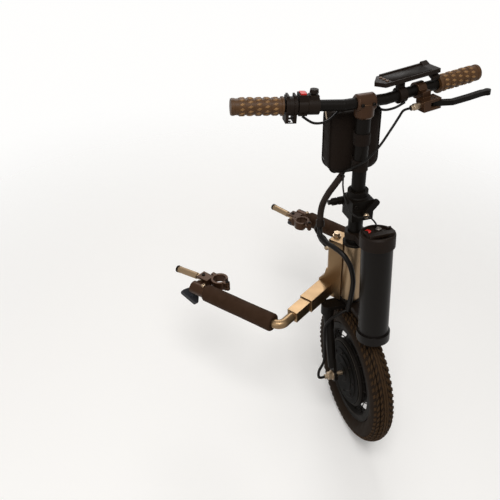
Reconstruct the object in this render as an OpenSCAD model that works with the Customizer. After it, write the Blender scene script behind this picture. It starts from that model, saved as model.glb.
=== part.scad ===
// Front power-assist unit for a manual wheelchair: a steered hub-motor wheel with a battery,
// a folding handlebar column and a docking frame whose two arms clamp on the chair's front tubes.
// +X points ahead, +Y to the rider's left, +Z up. The origin lies midway between the two clamps.

/* [Wheel] */
// Height of the tyre above the rim bed
tyre_h = 50; // [46:1:54]
// Width of the tyre
tyre_w = 54; // [48:1:58]
// Diameter of the rim bed under the tyre
rim_d = 258; // [246:1:270]
// Depth of the rim section
rim_depth = 20; // [16:1:22]
// Width of the rim
rim_w = 34; // [28:1:38]
// Clear length of a spoke between the motor and the rim
spoke_len = 20; // [16:1:26]
// Width of the hub motor shell
motor_w = 46; // [40:1:50]
// Number of spokes
spoke_n = 36; // [24:2:36]
// Diameter of a spoke
spoke_d = 2.6; // [2:0.1:3.2]
// Diameter of the fixed axle
axle_d = 12; // [10:1:14]
// Diameter of the brake disc
disc_d = 140; // [130:1:150]

/* [Steering] */
// Lean of the steering axis, top towards the rider
rake = 7.2; // [5:0.1:9]
// Angle to the right at which the wheel stands
steer_angle = 33.5; // [25:0.5:40]
// Distance of the axle ahead of the steering axis
fork_offset = 50; // [44:1:56]
// Distance between the inner faces of the fork ends
fork_gap = 100; // [98:1:108]
// Diameter of a fork leg at its top
leg_d = 26; // [22:1:28]
// Height of the fork crown
crown_h = 18; // [16:1:22]
// Diameter of the steerer tube
steerer_d = 28.6; // [25:0.2:30]
// Outside diameter of the head tube
head_d = 48; // [46:1:54]
// Length of the head tube
head_len = 154; // [140:1:165]

/* [Docking frame] */
// Distance from the steering axis back to the clamps
dock_reach = 273; // [255:1:300]
// Distance between the clamps on the two chair tubes
clamp_span = 348; // [320:1:380]
// Depth of the centre post, front to back
post_depth = 42; // [36:1:48]
// Width of the centre post
post_w = 44; // [38:1:48]
// Outside size of the square cross beam
beam_size = 34; // [30:1:38]
// Wall of the square tubes
tube_wall = 3; // [2:0.5:4]
// Length of the cross beam
beam_len = 208; // [196:1:220]
// Diameter of the round arm bars
bar_tube_d = 22; // [20:1:24]
// Radius of the arm bend at its centre line
bend_r = 18; // [16:1:24]
// Diameter of the foam sleeve
foam_d = 43; // [38:1:43]
// Length of the clamp socket on the bar end
socket_grip = 37; // [34:1:44]

/* [Clamps] */
// Diameter of the chair tube in the clamp
chair_tube_d = 32; // [25:1:32]
// Wall of the clamp ring
ring_wall = 5.5; // [4:0.5:6]
// Height of the clamp ring
ring_h = 22; // [18:1:24]
// Diameter of the lock handle
handle_d = 17; // [13:1:18]
// Length of the lock handle
handle_len = 64; // [56:1:80]
// Width across the wing knob
knob_w = 56; // [44:1:58]

/* [Battery] */
// Diameter of the battery case
battery_d = 67; // [64:1:74]
// Length of the battery with its cap
battery_len = 272; // [250:1:285]
// Lean of the battery against the steering axis
battery_lean = 5.5; // [4:0.5:7]
// Distance of the battery foot ahead of the steering axis
battery_ahead = 128; // [124:1:136]
// Wall of the battery case
case_wall = 2.5; // [2:0.5:3]

/* [Column] */
// Diameter of the column tube
column_d = 30; // [28:1:32]
// Distance from the head to the folding joint
base_len = 94; // [90:1:98]
// Distance from the folding joint to the handlebar
column_len = 229; // [222:1:240]
// Width of the pouch
bag_w = 114; // [100:1:124]
// Height of the pouch
bag_h = 138; // [125:1:142]
// Depth of the pouch
bag_d = 60; // [50:1:66]

/* [Handlebar] */
// Diameter of the handlebar tube
bar_d = 22.2; // [20:0.1:25.4]
// Distance from the centre to each end of the bar
bar_half = 261; // [250:1:280]
// Sweep of the bar ends towards the rider
bar_back = 26; // [15:1:35]
// Rise of the bar ends above the stem
bar_rise = 18; // [8:1:26]
// Diameter of a grip
grip_d = 33; // [30:0.5:36]
// Length of a grip
grip_len = 98; // [90:1:102]

/* [Hidden] */
$fn = 64;
// Clearances: between fixed pieces, running fits and moving bodies
seat_gap = 0.1;
run_gap = 0.1;
free_gap = 0.4;

// Heights along the steering axis, from the foot of the axis
tyre_r = rim_d / 2 + tyre_h;
crown_z = tyre_r + 8;
crown_top = crown_z + crown_h;
cup_h = 6;
cup_r = head_d / 2 + 2;
head_z = crown_top + cup_h + free_gap;
head_top = head_z + head_len;
base_z = head_top + cup_h + free_gap;
fold_z = base_z + base_len;
bar_z = fold_z + column_len;

// Centre frame behind the head tube
steerer_r = steerer_d / 2;
head_r = head_d / 2;
post_front = -steerer_r - 1.7;
post_back = post_front - post_depth;
post_top = head_top - 1;
beam_x = post_back;
arm_z = head_z + 9;
arm_size = beam_size - 2 * tube_wall - 0.6;
arm_end = beam_len / 2 + 54;
plug_z = arm_z + 97;
plug_rise = 40;
plug_lift = 8;

// Arms and clamps; the ring sits above the bar, inside it
bend_angle = 86;
bend_bulge = 0.1;
bar_r = bar_tube_d / 2;
ring_lift = 9;
ring_r = chair_tube_d / 2;
ring_out = ring_r + ring_wall;
clamp_y = clamp_span / 2;
bar_y = clamp_y + 30;
bend_start = bar_y - bend_r * sin(bend_angle);
bend_x = beam_x - bend_r * (1 - cos(bend_angle));
bar_tail = 44;
bar_len = (dock_reach + bend_x + bar_tail) / sin(bend_angle);
foam_start = 2;
socket_start = bar_len - socket_grip;
foam_len = socket_start - foam_start - 2;
ring_x = -dock_reach;
ring_z = arm_z + ring_lift;
hinge_x = ring_out + 5;
hinge_r = 6;
hinge_pin_r = 2.5;
lever_pin = [-42, 14, 0];
lever_swing = 172;
lever_t = 12;
handle_r = handle_d / 2;
knob_back = 14;
knob_tilt = 45;
stud_r = 4;
stud_start = bar_r / sin(knob_tilt) - bar_r + stud_r + free_gap;

// Foot of the steering axis in the part frame
foot_x = dock_reach * cos(rake) + ring_z * sin(rake);
foot_z = dock_reach * sin(rake) - ring_z * cos(rake);

// Fork and hub
leg_y = fork_gap / 2 + 8;
leg_r = leg_d / 2;
leg_tilt = atan(fork_offset / crown_z);
dropout_t = 8;
shoulder_h = crown_h - 7;
plate_t = 2.5;
rim_in = rim_d / 2 - rim_depth;
motor_r = rim_in - spoke_len;
axle_r = axle_d / 2;
cover_t = 9;
cover_out = motor_w / 2 + cover_t;
disc_y = cover_out + 8;
disc_t = 2.2;
caliper_angle = 40;

// Battery
battery_r = battery_d / 2;
cap_r = battery_r + 4;
battery_z = tyre_r + 4;
foot_ring_h = 24;
case_floor = 6;
cap_h = 30;
lid_drop = 5;
bail_x = -2;
bail_y = cap_r - 9.5;
bail_z = battery_len + 3.4;
button_at = [-18, -13, 0];
button_r = 6.5;
rail_t = 9;
rail_w = 26;

// Column, fold joint and handlebar
column_r = column_d / 2;
fold_x = -27;
fold_w = 50;
block_front = 30;
block_h = 22;
collar_h = 16;
latch_pin = [block_front + free_gap, 4, fold_z - 9];
pin_r = 5;
collar_r = column_r + 7.5;
bar_rad = bar_d / 2;
grip_r = grip_d / 2;
bend_y = 45;
bar_sweep = atan(bar_back / (bar_half - bend_y));
bar_lift = atan(bar_rise / (bar_half - bend_y));
bar_arm = norm([bar_half - bend_y, bar_back, bar_rise]);
grip_start = bar_arm - grip_len;
lever_start = grip_start - 26;
brake_start = lever_start - 26;
lever_pivot = [36, 19, brake_start + 20];
switch_start = grip_start - 70;
screen_pivot = [-1, -24, brake_start / 2];

// Points given along one half of the bar and in the battery, carried to the steering axis
function on_bar(p, side) = let (u = p.z * cos(bar_lift) + p.y * sin(bar_lift))
    [p.x * cos(bar_sweep) - u * sin(bar_sweep),
    side * (bend_y + p.x * sin(bar_sweep) + u * cos(bar_sweep)),
    bar_z + p.z * sin(bar_lift) - p.y * cos(bar_lift)];
function on_battery(p) = [battery_ahead + p.x * cos(battery_lean) - p.z * sin(battery_lean), p.y,
    battery_z + p.x * sin(battery_lean) + p.z * cos(battery_lean)];

// Routes of the leads behind the head, down to the boot and on to the plug and the fork
sleeve_route = [[-34.3, -13, fold_z + 65], [-48, -12, fold_z + 42.5], [-70, -9, fold_z + 6],
    [-85, -6, fold_z - 26], [-90.5, -5, fold_z - 52], [-88.5, -8.5, fold_z - 68]];
boot_dir = tangent(smooth(sleeve_route, 2), 2 * len(sleeve_route) - 2);
boot_top = sleeve_route[len(sleeve_route) - 1] + 0.3 * boot_dir;
boot_foot = boot_top + 16 * boot_dir;
fork_route = [boot_foot + 0.9 * boot_dir, boot_foot + 9 * boot_dir, [-76, -22, head_top - 3],
    [-55, -30, head_top - 7], [-31, -35, head_top - 8], [-4, -37, head_top - 17], [17, -38, head_top - 40],
    [27, -39, head_z + 80], [27, -41, head_z + 42], [22, -44, crown_top - 3]];
plug_dir = [-cos(plug_rise), 0, sin(plug_rise)];
plug_at = [post_back, 0, plug_z];
plug_route = [plug_at + (plug_lift + 43) * plug_dir, plug_at + (plug_lift + 50) * plug_dir,
    [post_back - 46, -3, plug_z + 50], boot_foot - 10 * boot_dir];

// Routes of the leads on the fork and on the column
motor_route = [[42, -27, crown_top - 2], [40, -42, crown_top - 9], [34, -60, crown_top - 25],
    [30, -leg_y - 18, crown_top - 55], [fork_offset - 14, -leg_y - 20, 100],
    [fork_offset - 8, -leg_y - 22, 50], [fork_offset - 4, -leg_y - 36, 22], [fork_offset, -leg_y - 38, 6],
    [fork_offset, -leg_y - 32, 0], [fork_offset, -leg_y - 22.3, 0]];
brake_end = on_bar([31, lever_pivot.y, brake_start - 30.8], 1);
brake_route = [brake_end, brake_end + [3, -17, -1.5], brake_end + [15, -33, -9], brake_end + [22, -51, -28],
    [46, 14, fold_z + 150], [30, -6, fold_z + 116], [4, -20, fold_z + 92], [-16.9, -23.6, fold_z + 76.8],
    [-22.6, -26.8, fold_z + 66.3]];
lead_route = [[-19.1, -32.9, fold_z + 66.3], [-16.2, -31.3, fold_z + 72], [-7, -33, fold_z + 72],
    [2, -37, fold_z + 54], [14, -38, fold_z + 34], [32, -36, fold_z + 13],
    on_battery([-48, -24, battery_len + 18]), on_battery([-31, -6, battery_len + 22]),
    on_battery([-21.6, 6, battery_len + 8.4]), on_battery([-24, 6, battery_len - 4.1])];
right_leads = [on_bar([16.4, 14.9, switch_start + 34.4], -1), [10, -110, bar_z - 23], [2, -80, bar_z - 27],
    [-14, -52, bar_z - 19], [-32, -32, bar_z - 12], [-38, -28, bar_z - 26]];
left_leads = [on_bar([13.7, 11.7, screen_pivot.z + 2], 1), [6, 62, bar_z - 19], [-6, 42, bar_z - 23],
    [-28, 28, bar_z - 12], [-36, 24, bar_z - 26]];

// Places: the head, the steered fork, the wheel, the battery, the bar and the clamps
module at_head() {
    translate([foot_x, 0, foot_z]) rotate([0, -rake, 0]) children();
}

module at_fork() {
    at_head() rotate([0, 0, -steer_angle]) children();
}

module at_wheel() {
    at_fork() translate([fork_offset, 0, 0]) rotate([-90, 0, 0]) children();
}

module at_battery() {
    at_fork() translate([battery_ahead, 0, battery_z]) rotate([0, -battery_lean, 0]) children();
}

// Along one half of the bar: x ahead, y down, z outwards from the bend
module at_bar(side) {
    at_fork() mirror([0, side < 0 ? 1 : 0, 0]) translate([0, bend_y, bar_z])
        rotate([0, 0, bar_sweep]) rotate([bar_lift, 0, 0]) rotate([-90, 0, 0]) children();
}

module at_side(side) {
    at_head() mirror([0, side < 0 ? 1 : 0, 0]) children();
}

// Along the rear bar of one arm: z runs backwards from the bend
module at_arm_bar(side) {
    at_side(side) translate([bend_x, bar_y, arm_z]) rotate([0, 0, bend_angle - 90])
        rotate([0, -90, 0]) children();
}

// One clamp: x ahead, y outwards, z along the chair tube
module at_clamp(side) {
    at_side(side) translate([ring_x, clamp_y, ring_z]) children();
}

// Stud of the wing knob, square to the bar end and pointing back and down
module at_knob(side) {
    at_arm_bar(side) translate([0, 0, bar_len - knob_back]) rotate([0, -knob_tilt, 0])
        translate([0, 0, bar_r]) children();
}

// Brake caliper: x runs back from the axle, y to the left
module at_caliper() {
    at_fork() translate([fork_offset, 0, 0]) rotate([0, caliper_angle, 0]) children();
}

// Simple shapes
module ring(outer, inner, height) {
    difference() {
        cylinder(r = outer, h = height);
        translate([0, 0, -1]) cylinder(r = inner, h = height + 2);
    }
}

module disc_mid(radius, height) {
    translate([0, 0, -height / 2]) cylinder(r = radius, h = height);
}

module box_tube(size, wall, length) {
    difference() {
        translate([-size / 2, 0, -size / 2]) cube([size, length, size]);
        translate([wall - size / 2, -1, wall - size / 2])
            cube([size - 2 * wall, length + 2, size - 2 * wall]);
    }
}

// Round bar between two points
module rod(a, b, r) {
    d = b - a;
    translate(a) rotate([0, acos(d.z / norm(d)), atan2(d.y, d.x)]) cylinder(r = r, h = norm(d));
}

// Flat plate with round ends between two points of the x y plane
module strap(a, b, width, height) {
    d = b - a;
    linear_extrude(height) {
        translate(a) circle(d = width + 2 * bend_bulge);
        translate(b) circle(d = width + 2 * bend_bulge);
        translate(a) rotate(atan2(d.y, d.x)) translate([0, -width / 2]) square([norm(d), width]);
    }
}

// Smooth tube along a route
function unit(v) = v / norm(v);
function spline(p, i, t) = let (a = p[max(i - 1, 0)], b = p[i], c = p[i + 1], d = p[min(i + 2, len(p) - 1)])
    b + (c - a) * t / 2 + (2 * a - 5 * b + 4 * c - d) * t * t / 2 + (3 * b - a - 3 * c + d) * t * t * t / 2;
function smooth(p, steps) =
    [for (i = [0 : len(p) - 2], k = [0 : steps - 1]) spline(p, i, k / steps), p[len(p) - 1]];
function tangent(p, i) = unit(p[min(i + 1, len(p) - 1)] - p[max(i - 1, 0)]);
function carried(v, t) = unit(v - t * (v * t));
function normals(p, i, v) = i == len(p) ? [] :
    let (n = carried(v, tangent(p, i))) concat([n], normals(p, i + 1, n));

module lead(route, d, steps = 1, sides = 8) {
    p = smooth(route, steps);
    rings = normals(p, 0, [0.31, 0.9, 0.3]);
    points = [for (i = [0 : len(p) - 1], k = [0 : sides - 1])
        let (a = k * 360 / sides, n = rings[i])
        p[i] + d / 2 * (n * cos(a) + cross(tangent(p, i), n) * sin(a))];
    last = (len(p) - 1) * sides;
    walls = [for (i = [0 : len(p) - 2], k = [0 : sides - 1])
        let (a = i * sides + k, b = i * sides + (k + 1) % sides)
        each [[a, a + sides, b], [b, a + sides, b + sides]]];
    ends = [for (k = [1 : sides - 2]) each [[0, k, k + 1], [last, last + k + 1, last + k]]];
    polyhedron(points = points, faces = concat(walls, ends));
}

// Docking frame
module main_post() {
    flare = 20;
    bevel = 4;
    color("silver") at_head() difference() {
        rotate([90, 0, 0]) translate([0, 0, -post_w / 2]) linear_extrude(post_w) polygon([
            [post_front, post_top], [post_back + 6, post_top], [post_back, post_top - 6],
            [post_back, arm_z + 58], [post_back - 5, arm_z + 36],
            [post_back - flare, arm_z + beam_size / 2 + 3],
            [post_back - flare, arm_z - beam_size / 2 - 3], [post_front, arm_z - beam_size / 2 - 3]]);
        translate([0, 0, head_z - 40]) cylinder(r = head_r + seat_gap, h = head_len + 80);
        translate([0, 0, head_z - 40]) cylinder(r = cup_r + seat_gap, h = 40 + seat_gap);
        translate([beam_x - beam_size / 2 - seat_gap, -post_w, arm_z - beam_size / 2 - seat_gap])
            cube([beam_size + 2 * seat_gap, 2 * post_w, beam_size + 2 * seat_gap]);
        translate([post_back + 12, 0, post_top - 16]) cylinder(r = 4 + seat_gap, h = 40);
        translate(plug_at) rotate([0, plug_rise - 90, 0]) translate([0, 0, -12])
            cylinder(r = 6 + seat_gap, h = 40);
        for (s = [-1, 1]) translate([post_back, s * post_w / 2, arm_z + 58]) rotate([0, 0, 45])
            translate([-bevel, -bevel, 0]) cube([2 * bevel, 2 * bevel, head_len]);
    }
}

module head_tube() {
    color("silver") at_head() translate([0, 0, head_z]) ring(head_r, head_r - 5, head_len);
}

module bearing_cups() {
    color("dimgray") at_head() for (z = [head_z - cup_h, head_top]) translate([0, 0, z])
        ring(cup_r, steerer_r + run_gap, cup_h);
}

module cross_beam() {
    color("silver") at_head() translate([beam_x, -beam_len / 2, arm_z])
        box_tube(beam_size, tube_wall, beam_len);
}

module frame_bolts() {
    color("goldenrod") at_head() {
        translate([post_back + 12, 0, post_top - 14]) cylinder(r = 4, h = 24);
        translate([post_back + 12, 0, post_top]) cylinder(r = 10, h = 3);
        translate([post_back + 12, 0, post_top + 3]) cylinder(r = 8, h = 7, $fn = 6);
        for (s = [-1, 1]) translate([beam_x, s * (beam_len / 2 - 16), arm_z - beam_size / 2 - 5])
            cylinder(r = 6, h = 5, $fn = 6);
    }
}

module controller_plug() {
    color("black") at_head() {
        translate(plug_at) rotate([0, plug_rise - 90, 0]) translate([0, 0, plug_lift]) {
            translate([0, 0, -19]) cylinder(r = 6, h = 20);
            cylinder(r = 9, h = 10);
            translate([0, 0, 10]) cylinder(r1 = 8, r2 = 9.5, h = 18);
            translate([0, 0, 28]) cylinder(r1 = 9.5, r2 = 6, h = 16);
        }
        lead(plug_route, 9, 2);
        rod(boot_foot, boot_top, 10);
    }
}

// Arms, clamps and their handles
module arm(side) {
    color("silver") at_side(side) {
        translate([beam_x, arm_end - 110, arm_z]) box_tube(arm_size, tube_wall, 110);
        translate([beam_x - arm_size / 2, arm_end - 4, arm_z - arm_size / 2]) cube([arm_size, 4, arm_size]);
        translate([beam_x, arm_end - 2, arm_z]) rotate([-90, 0, 0])
            cylinder(r = bar_r, h = bend_start - arm_end + 2.8);
        translate([beam_x - bend_r, bend_start, arm_z]) rotate_extrude(angle = bend_angle)
            translate([bend_r, 0]) circle(r = bar_r + bend_bulge);
    }
    color("silver") at_arm_bar(side) translate([0, 0, -0.8]) cylinder(r = bar_r, h = bar_len + 0.8);
}

module foam(side) {
    color("saddlebrown") at_arm_bar(side) translate([0, 0, foam_start])
        ring(foam_d / 2, bar_r + seat_gap, foam_len);
}

// Fixed half of the clamp with the socket on the bar end, the lever fork and the hinge
module clamp_body(side) {
    socket_len = bar_len - socket_start + 4;
    color("saddlebrown") difference() {
        union() {
            at_clamp(side) {
                difference() {
                    disc_mid(ring_out, ring_h);
                    translate([-50, -100, -50]) cube([100, 100 + free_gap, 100]);
                }
                translate([0, free_gap, -ring_h / 2]) cube([hinge_x, 8, ring_h]);
                translate([hinge_x, 0, 0]) disc_mid(hinge_r, ring_h);
                translate([-52, 2, -ring_h / 2]) cube([34, 26, ring_h]);
                translate([-46, 20, -ring_h / 2]) cube([24, 24, ring_h / 2 + 2]);
            }
            at_arm_bar(side) translate([0, 0, socket_start]) cylinder(r = bar_r + 5, h = socket_len);
        }
        at_clamp(side) {
            disc_mid(ring_r, ring_h + 2);
            translate([hinge_x, 0, 0]) disc_mid(hinge_r + free_gap, 9);
            translate([hinge_x - 9, -12, -4.5]) cube([20, 12.4, 9]);
            translate([-53, 1, -lever_t / 2 - free_gap]) cube([22, 28, lever_t + 2 * free_gap]);
            translate(lever_pin) disc_mid(hinge_pin_r + run_gap, 60);
            translate(lever_pin) disc_mid(11, lever_t + 2 * free_gap);
        }
        at_arm_bar(side) translate([0, 0, socket_start - 1])
            cylinder(r = bar_r + seat_gap, h = bar_len - socket_start + 1 + seat_gap);
        at_knob(side) translate([0, 0, -20]) cylinder(r = stud_r + run_gap, h = 40);
    }
    color("gray") at_clamp(side) translate([hinge_x, 0, 0]) disc_mid(hinge_pin_r, ring_h - 0.2);
}

module jaw(side) {
    color("saddlebrown") at_clamp(side) difference() {
        union() {
            difference() {
                disc_mid(ring_out, ring_h);
                translate([-50, -free_gap, -50]) cube([100, 100, 100]);
                translate([ring_out - 6, -30, 4.1]) cube([30, 40, 20]);
                translate([ring_out - 6, -30, -24.1]) cube([30, 40, 20]);
            }
            translate([ring_r + 2, -9, -4]) cube([hinge_x - ring_r - 2, 8, 8]);
            translate([hinge_x, 0, 0]) disc_mid(hinge_r, 8);
            translate([-ring_out - 9, -10, -ring_h / 2]) cube([14, 9, ring_h]);
        }
        disc_mid(ring_r, ring_h + 2);
        translate([hinge_x, 0, 0]) disc_mid(hinge_pin_r + run_gap, 20);
    }
}

// Handle that swings on an upright pin at the back of the clamp
module lock_lever(side) {
    color("tan") at_clamp(side) translate(lever_pin) {
        disc_mid(hinge_pin_r, ring_h - 1);
        disc_mid(10, lever_t);
        rotate([0, 0, lever_swing]) {
            translate([4, -5, -5]) cube([20, 10, 10]);
            translate([20, 0, 0]) rotate([0, 90, 0]) rotate_extrude() polygon([
                [0, 0], [handle_r - 1, 0], [handle_r, 1], [handle_r, handle_len - 8],
                [handle_r + 0.6, handle_len - 8], [handle_r - 1.5, handle_len], [0, handle_len]]);
        }
    }
}

module wing_knob(side) {
    lobe_r = 6;
    lobe = knob_w / 2 - lobe_r;
    turns = [45, 165, 285];
    color("black") at_knob(side) {
        translate([0, 0, stud_start]) cylinder(r = stud_r, h = 24 - stud_start);
        translate([0, 0, 13]) cylinder(r1 = 8, r2 = 10, h = 8);
        translate([0, 0, 21]) linear_extrude(12) {
            for (a = turns) translate([lobe * cos(a), lobe * sin(a)]) circle(r = lobe_r);
            polygon([for (a = turns, b = [a, a + 120])
                [lobe * cos(b) + lobe_r * cos(a + 60), lobe * sin(b) + lobe_r * sin(a + 60)]]);
        }
    }
}

// Steered parts below the fold joint
module fork() {
    leg_len = (crown_z + 6) / cos(leg_tilt) - 26;
    color([0.1, 0.09, 0.08]) at_fork() difference() {
        union() {
            translate([-leg_r - 3, -leg_y, crown_z]) cube([2 * leg_r + 6, 2 * leg_y, shoulder_h]);
            translate([0, 0, crown_z]) cylinder(r = head_r, h = crown_h);
            for (s = [-1, 1]) {
                translate([0, s * leg_y, crown_z - 16]) cylinder(r = leg_r + 3, h = shoulder_h + 16);
                translate([0, s * leg_y, crown_z + 6]) rotate([0, 180 - leg_tilt, 0])
                    cylinder(r1 = leg_r, r2 = leg_r - 3, h = leg_len);
                translate([fork_offset, s * (fork_gap / 2 + dropout_t / 2), 0]) rotate([90, 0, 0])
                    disc_mid(17, dropout_t);
                translate([fork_offset, s * (fork_gap / 2 + dropout_t / 2), 0]) rotate([0, -leg_tilt, 0])
                    translate([-12, -dropout_t / 2, 0]) cube([24, dropout_t, 50]);
            }
            translate([0, 0, crown_top - 1]) cylinder(r = steerer_r, h = base_z + 30 - crown_top);
        }
        translate([fork_offset, 0, 0]) rotate([90, 0, 0]) disc_mid(axle_r + seat_gap, 2 * leg_y + 80);
        translate([0, 0, crown_z - 1]) cylinder(r = steerer_r - 3, h = base_z + 60 - crown_z);
    }
}

// Pointed plate on the front of the crown
module crown_plate() {
    half_w = 17;
    color("silver") at_fork() translate([head_r + seat_gap, 0, crown_z]) rotate([90, 0, 90])
        linear_extrude(plate_t) polygon([[-half_w, crown_h - 1], [-half_w, 6], [-4, -3], [4, -3],
            [half_w, 6], [half_w, crown_h - 1]]);
}

// Sleeve on the steerer with the lower half of the fold joint
module column_base() {
    tube_r = column_r + 1.5;
    color([0.1, 0.09, 0.08]) at_fork() difference() {
        union() {
            translate([0, 0, base_z]) cylinder(r = tube_r, h = base_len - 4);
            translate([0, 0, base_z]) cylinder(r = tube_r + 3, h = 8);
            translate([fold_x + 7, -fold_w / 2, fold_z - 26])
                cube([block_front - fold_x - 7, fold_w, 26 - free_gap / 2]);
            for (s = [-1, 1]) translate([fold_x, s * 18, fold_z]) rotate([90, 0, 0]) disc_mid(9, 13);
            for (s = [-1, 1]) translate([fold_x, s * 18 - 6.5, fold_z - 9]) cube([12, 13, 9 - free_gap / 2]);
        }
        translate([0, 0, base_z - 1]) cylinder(r = steerer_r + seat_gap, h = 32);
        translate([fold_x, 0, fold_z]) rotate([90, 0, 0]) disc_mid(pin_r + run_gap, 100);
        translate([fold_x, 0, fold_z]) rotate([90, 0, 0]) disc_mid(9 + free_gap, 23.6);
        translate([latch_pin.x - 14, latch_pin.y, latch_pin.z]) rotate([0, 90, 0])
            cylinder(r = 4 + run_gap, h = 20);
    }
}

// Cross pin of the fold joint with its stepped end knob
module fold_pin() {
    color([0.12, 0.1, 0.09]) at_fork() translate([fold_x, 0, fold_z]) rotate([90, 0, 0]) {
        translate([0, 0, -30]) cylinder(r = pin_r, h = 58);
        translate([0, 0, -33]) cylinder(r = 8, h = 7);
        translate([0, 0, 25.5]) cylinder(r = 9, h = 7);
        translate([0, 0, 32.5]) cylinder(r = 6, h = 4);
        translate([0, 0, 36.5]) cylinder(r = 8.5, h = 11);
        translate([0, 0, 47.5]) cylinder(r = 5.5, h = 9);
    }
}

// Rail behind the battery, carried by the crown and by the column base
module battery_cradle() {
    clasp_h = 16;
    arm_h = 13;
    arm_x = head_r + 2 * seat_gap + plate_t;
    rail_z = 8;
    rail_len = battery_len - cap_h - 6 - rail_z;
    color([0.12, 0.11, 0.1]) difference() {
        union() {
            at_battery() translate([-battery_r - rail_t - 2, -rail_w / 2, rail_z])
                cube([rail_t + 2 - free_gap, rail_w, rail_len]);
            at_fork() {
                translate([arm_x, -11, crown_top - arm_h])
                    cube([battery_ahead - battery_r - 8 - arm_x, 22, arm_h]);
                translate([column_r + 3, -10, base_z + 12])
                    cube([battery_ahead - battery_r - column_r - 28, 20, clasp_h]);
                translate([0, 0, base_z + 12]) cylinder(r = column_r + 8, h = clasp_h);
            }
        }
        at_fork() translate([0, 0, base_z]) cylinder(r = column_r + 1.5 + seat_gap, h = 60);
    }
}

module axle() {
    nut_y = leg_y;
    reach = leg_y + 22;
    color("goldenrod") at_wheel() {
        disc_mid(axle_r, 2 * reach);
        for (s = [-1, 1]) translate([0, 0, s * (nut_y + 1.6)]) disc_mid(13, 3);
        for (s = [-1, 1]) translate([0, 0, s * (nut_y + 8.2)]) disc_mid(11, 10, $fn = 6);
        for (s = [-1, 1]) translate([0, 0, s * (fork_gap / 2 - 1.6)]) disc_mid(10, 3);
    }
}

module motor_stator() {
    teeth = 18;
    color("peru") at_wheel() difference() {
        disc_mid(motor_r - 16, motor_w - 20);
        disc_mid(axle_r + seat_gap, motor_w);
        for (i = [0 : teeth - 1]) rotate([0, 0, i * 360 / teeth]) translate([motor_r - 34, -3, -50])
            cube([30, 6, 100]);
    }
}

// Disc brake caliper on the left leg
module brake_caliper() {
    body_x = -disc_d / 2 - 14;
    color([0.15, 0.15, 0.15]) difference() {
        union() {
            at_caliper() {
                translate([body_x, disc_y - 8.4, -16]) cube([30, 6, 32]);
                translate([body_x, disc_y + 2.6, -16]) cube([30, 10, 32]);
                translate([body_x, disc_y - 8.4, -16]) cube([11, 21, 32]);
            }
            at_fork() translate([fork_offset, 0, 0]) rotate([0, -leg_tilt, 0])
                translate([-40 - seat_gap, disc_y + 4, 36]) cube([28, 12, 10]);
        }
        at_caliper() translate([-disc_d / 2, disc_y + 6.6, 0]) rotate([-90, 0, 0])
            cylinder(r = 3 + run_gap, h = 30);
    }
}

module caliper_arm() {
    color("gray") at_caliper() translate([-disc_d / 2, disc_y + 12.6 + free_gap, 0]) rotate([-90, 0, 0]) {
        translate([0, 0, -5.5]) cylinder(r = 3, h = 6);
        strap([0, 0], [-14, -26], 12, 4);
    }
}

module motor_cable() {
    color("black") at_fork() lead(motor_route, 7);
}

module fork_conduit() {
    color("black") at_head() lead(fork_route, 12, 2, 10);
}

module control_conduit() {
    color([0.16, 0.11, 0.08]) at_head() lead(sleeve_route, 15, 2, 10);
}

// Wheel
module tyre() {
    round_r = tyre_w / 2;
    color([0.13, 0.1, 0.08]) at_wheel() rotate_extrude($fn = 96) difference() {
        translate([tyre_r - round_r, 0]) circle(r = round_r);
        translate([0, -tyre_w]) square([rim_d / 2 + seat_gap, 2 * tyre_w]);
        for (y = [-0.24, 0.24]) translate([tyre_r - 1, y * tyre_w]) square([14, 2.4], center = true);
    }
}

module rim() {
    lip = 2.5;
    color([0.25, 0.25, 0.25]) at_wheel() rotate_extrude($fn = 96) polygon([
        [rim_in, -rim_w / 4], [rim_in + 5, -rim_w / 2],
        [rim_d / 2, -rim_w / 2], [rim_d / 2, -rim_w / 2 + lip],
        [rim_d / 2 - 3, -rim_w / 4], [rim_d / 2 - 3, rim_w / 4], [rim_d / 2, rim_w / 2 - lip],
        [rim_d / 2, rim_w / 2], [rim_in + 5, rim_w / 2], [rim_in, rim_w / 4]]);
}

module spokes() {
    flange = motor_w / 2 - 7;
    color("dimgray") at_wheel() for (i = [0 : spoke_n - 1]) rotate([0, 0, i * 360 / spoke_n])
        rod([motor_r + 0.9, i % 4 < 2 ? 3 : -3, i % 2 == 0 ? flange : -flange],
            [rim_in - 0.9, 0, i % 2 == 0 ? 3 : -3], spoke_d / 2);
}

module motor_shell() {
    color([0.3, 0.3, 0.3]) at_wheel() rotate_extrude($fn = 96) polygon([
        [motor_r - 9, -motor_w / 2], [motor_r - 4, -motor_w / 2],
        [motor_r, -motor_w / 2 + 4], [motor_r, -motor_w / 2 + 10],
        [motor_r - 3, -motor_w / 2 + 12], [motor_r - 3, motor_w / 2 - 12], [motor_r, motor_w / 2 - 10],
        [motor_r, motor_w / 2 - 4], [motor_r - 4, motor_w / 2], [motor_r - 9, motor_w / 2]]);
}

module motor_covers() {
    color([0.4, 0.4, 0.4]) at_wheel() for (s = [0, 1]) mirror([0, 0, s])
        translate([0, 0, motor_w / 2 + seat_gap]) rotate_extrude($fn = 96) polygon([
            [axle_r + run_gap, -5], [0.26 * motor_r, -5], [0.26 * motor_r, -1.5],
            [motor_r - 10, -1.5], [motor_r - 10, 0], [motor_r - 5, 0],
            [0.91 * motor_r, 3], [0.77 * motor_r, 3], [0.73 * motor_r, 5.5], [0.55 * motor_r, 5.5],
            [0.52 * motor_r, 7.5], [0.28 * motor_r, 7.5], [0.26 * motor_r, cover_t],
            [axle_r + run_gap, cover_t]]);
}

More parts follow.
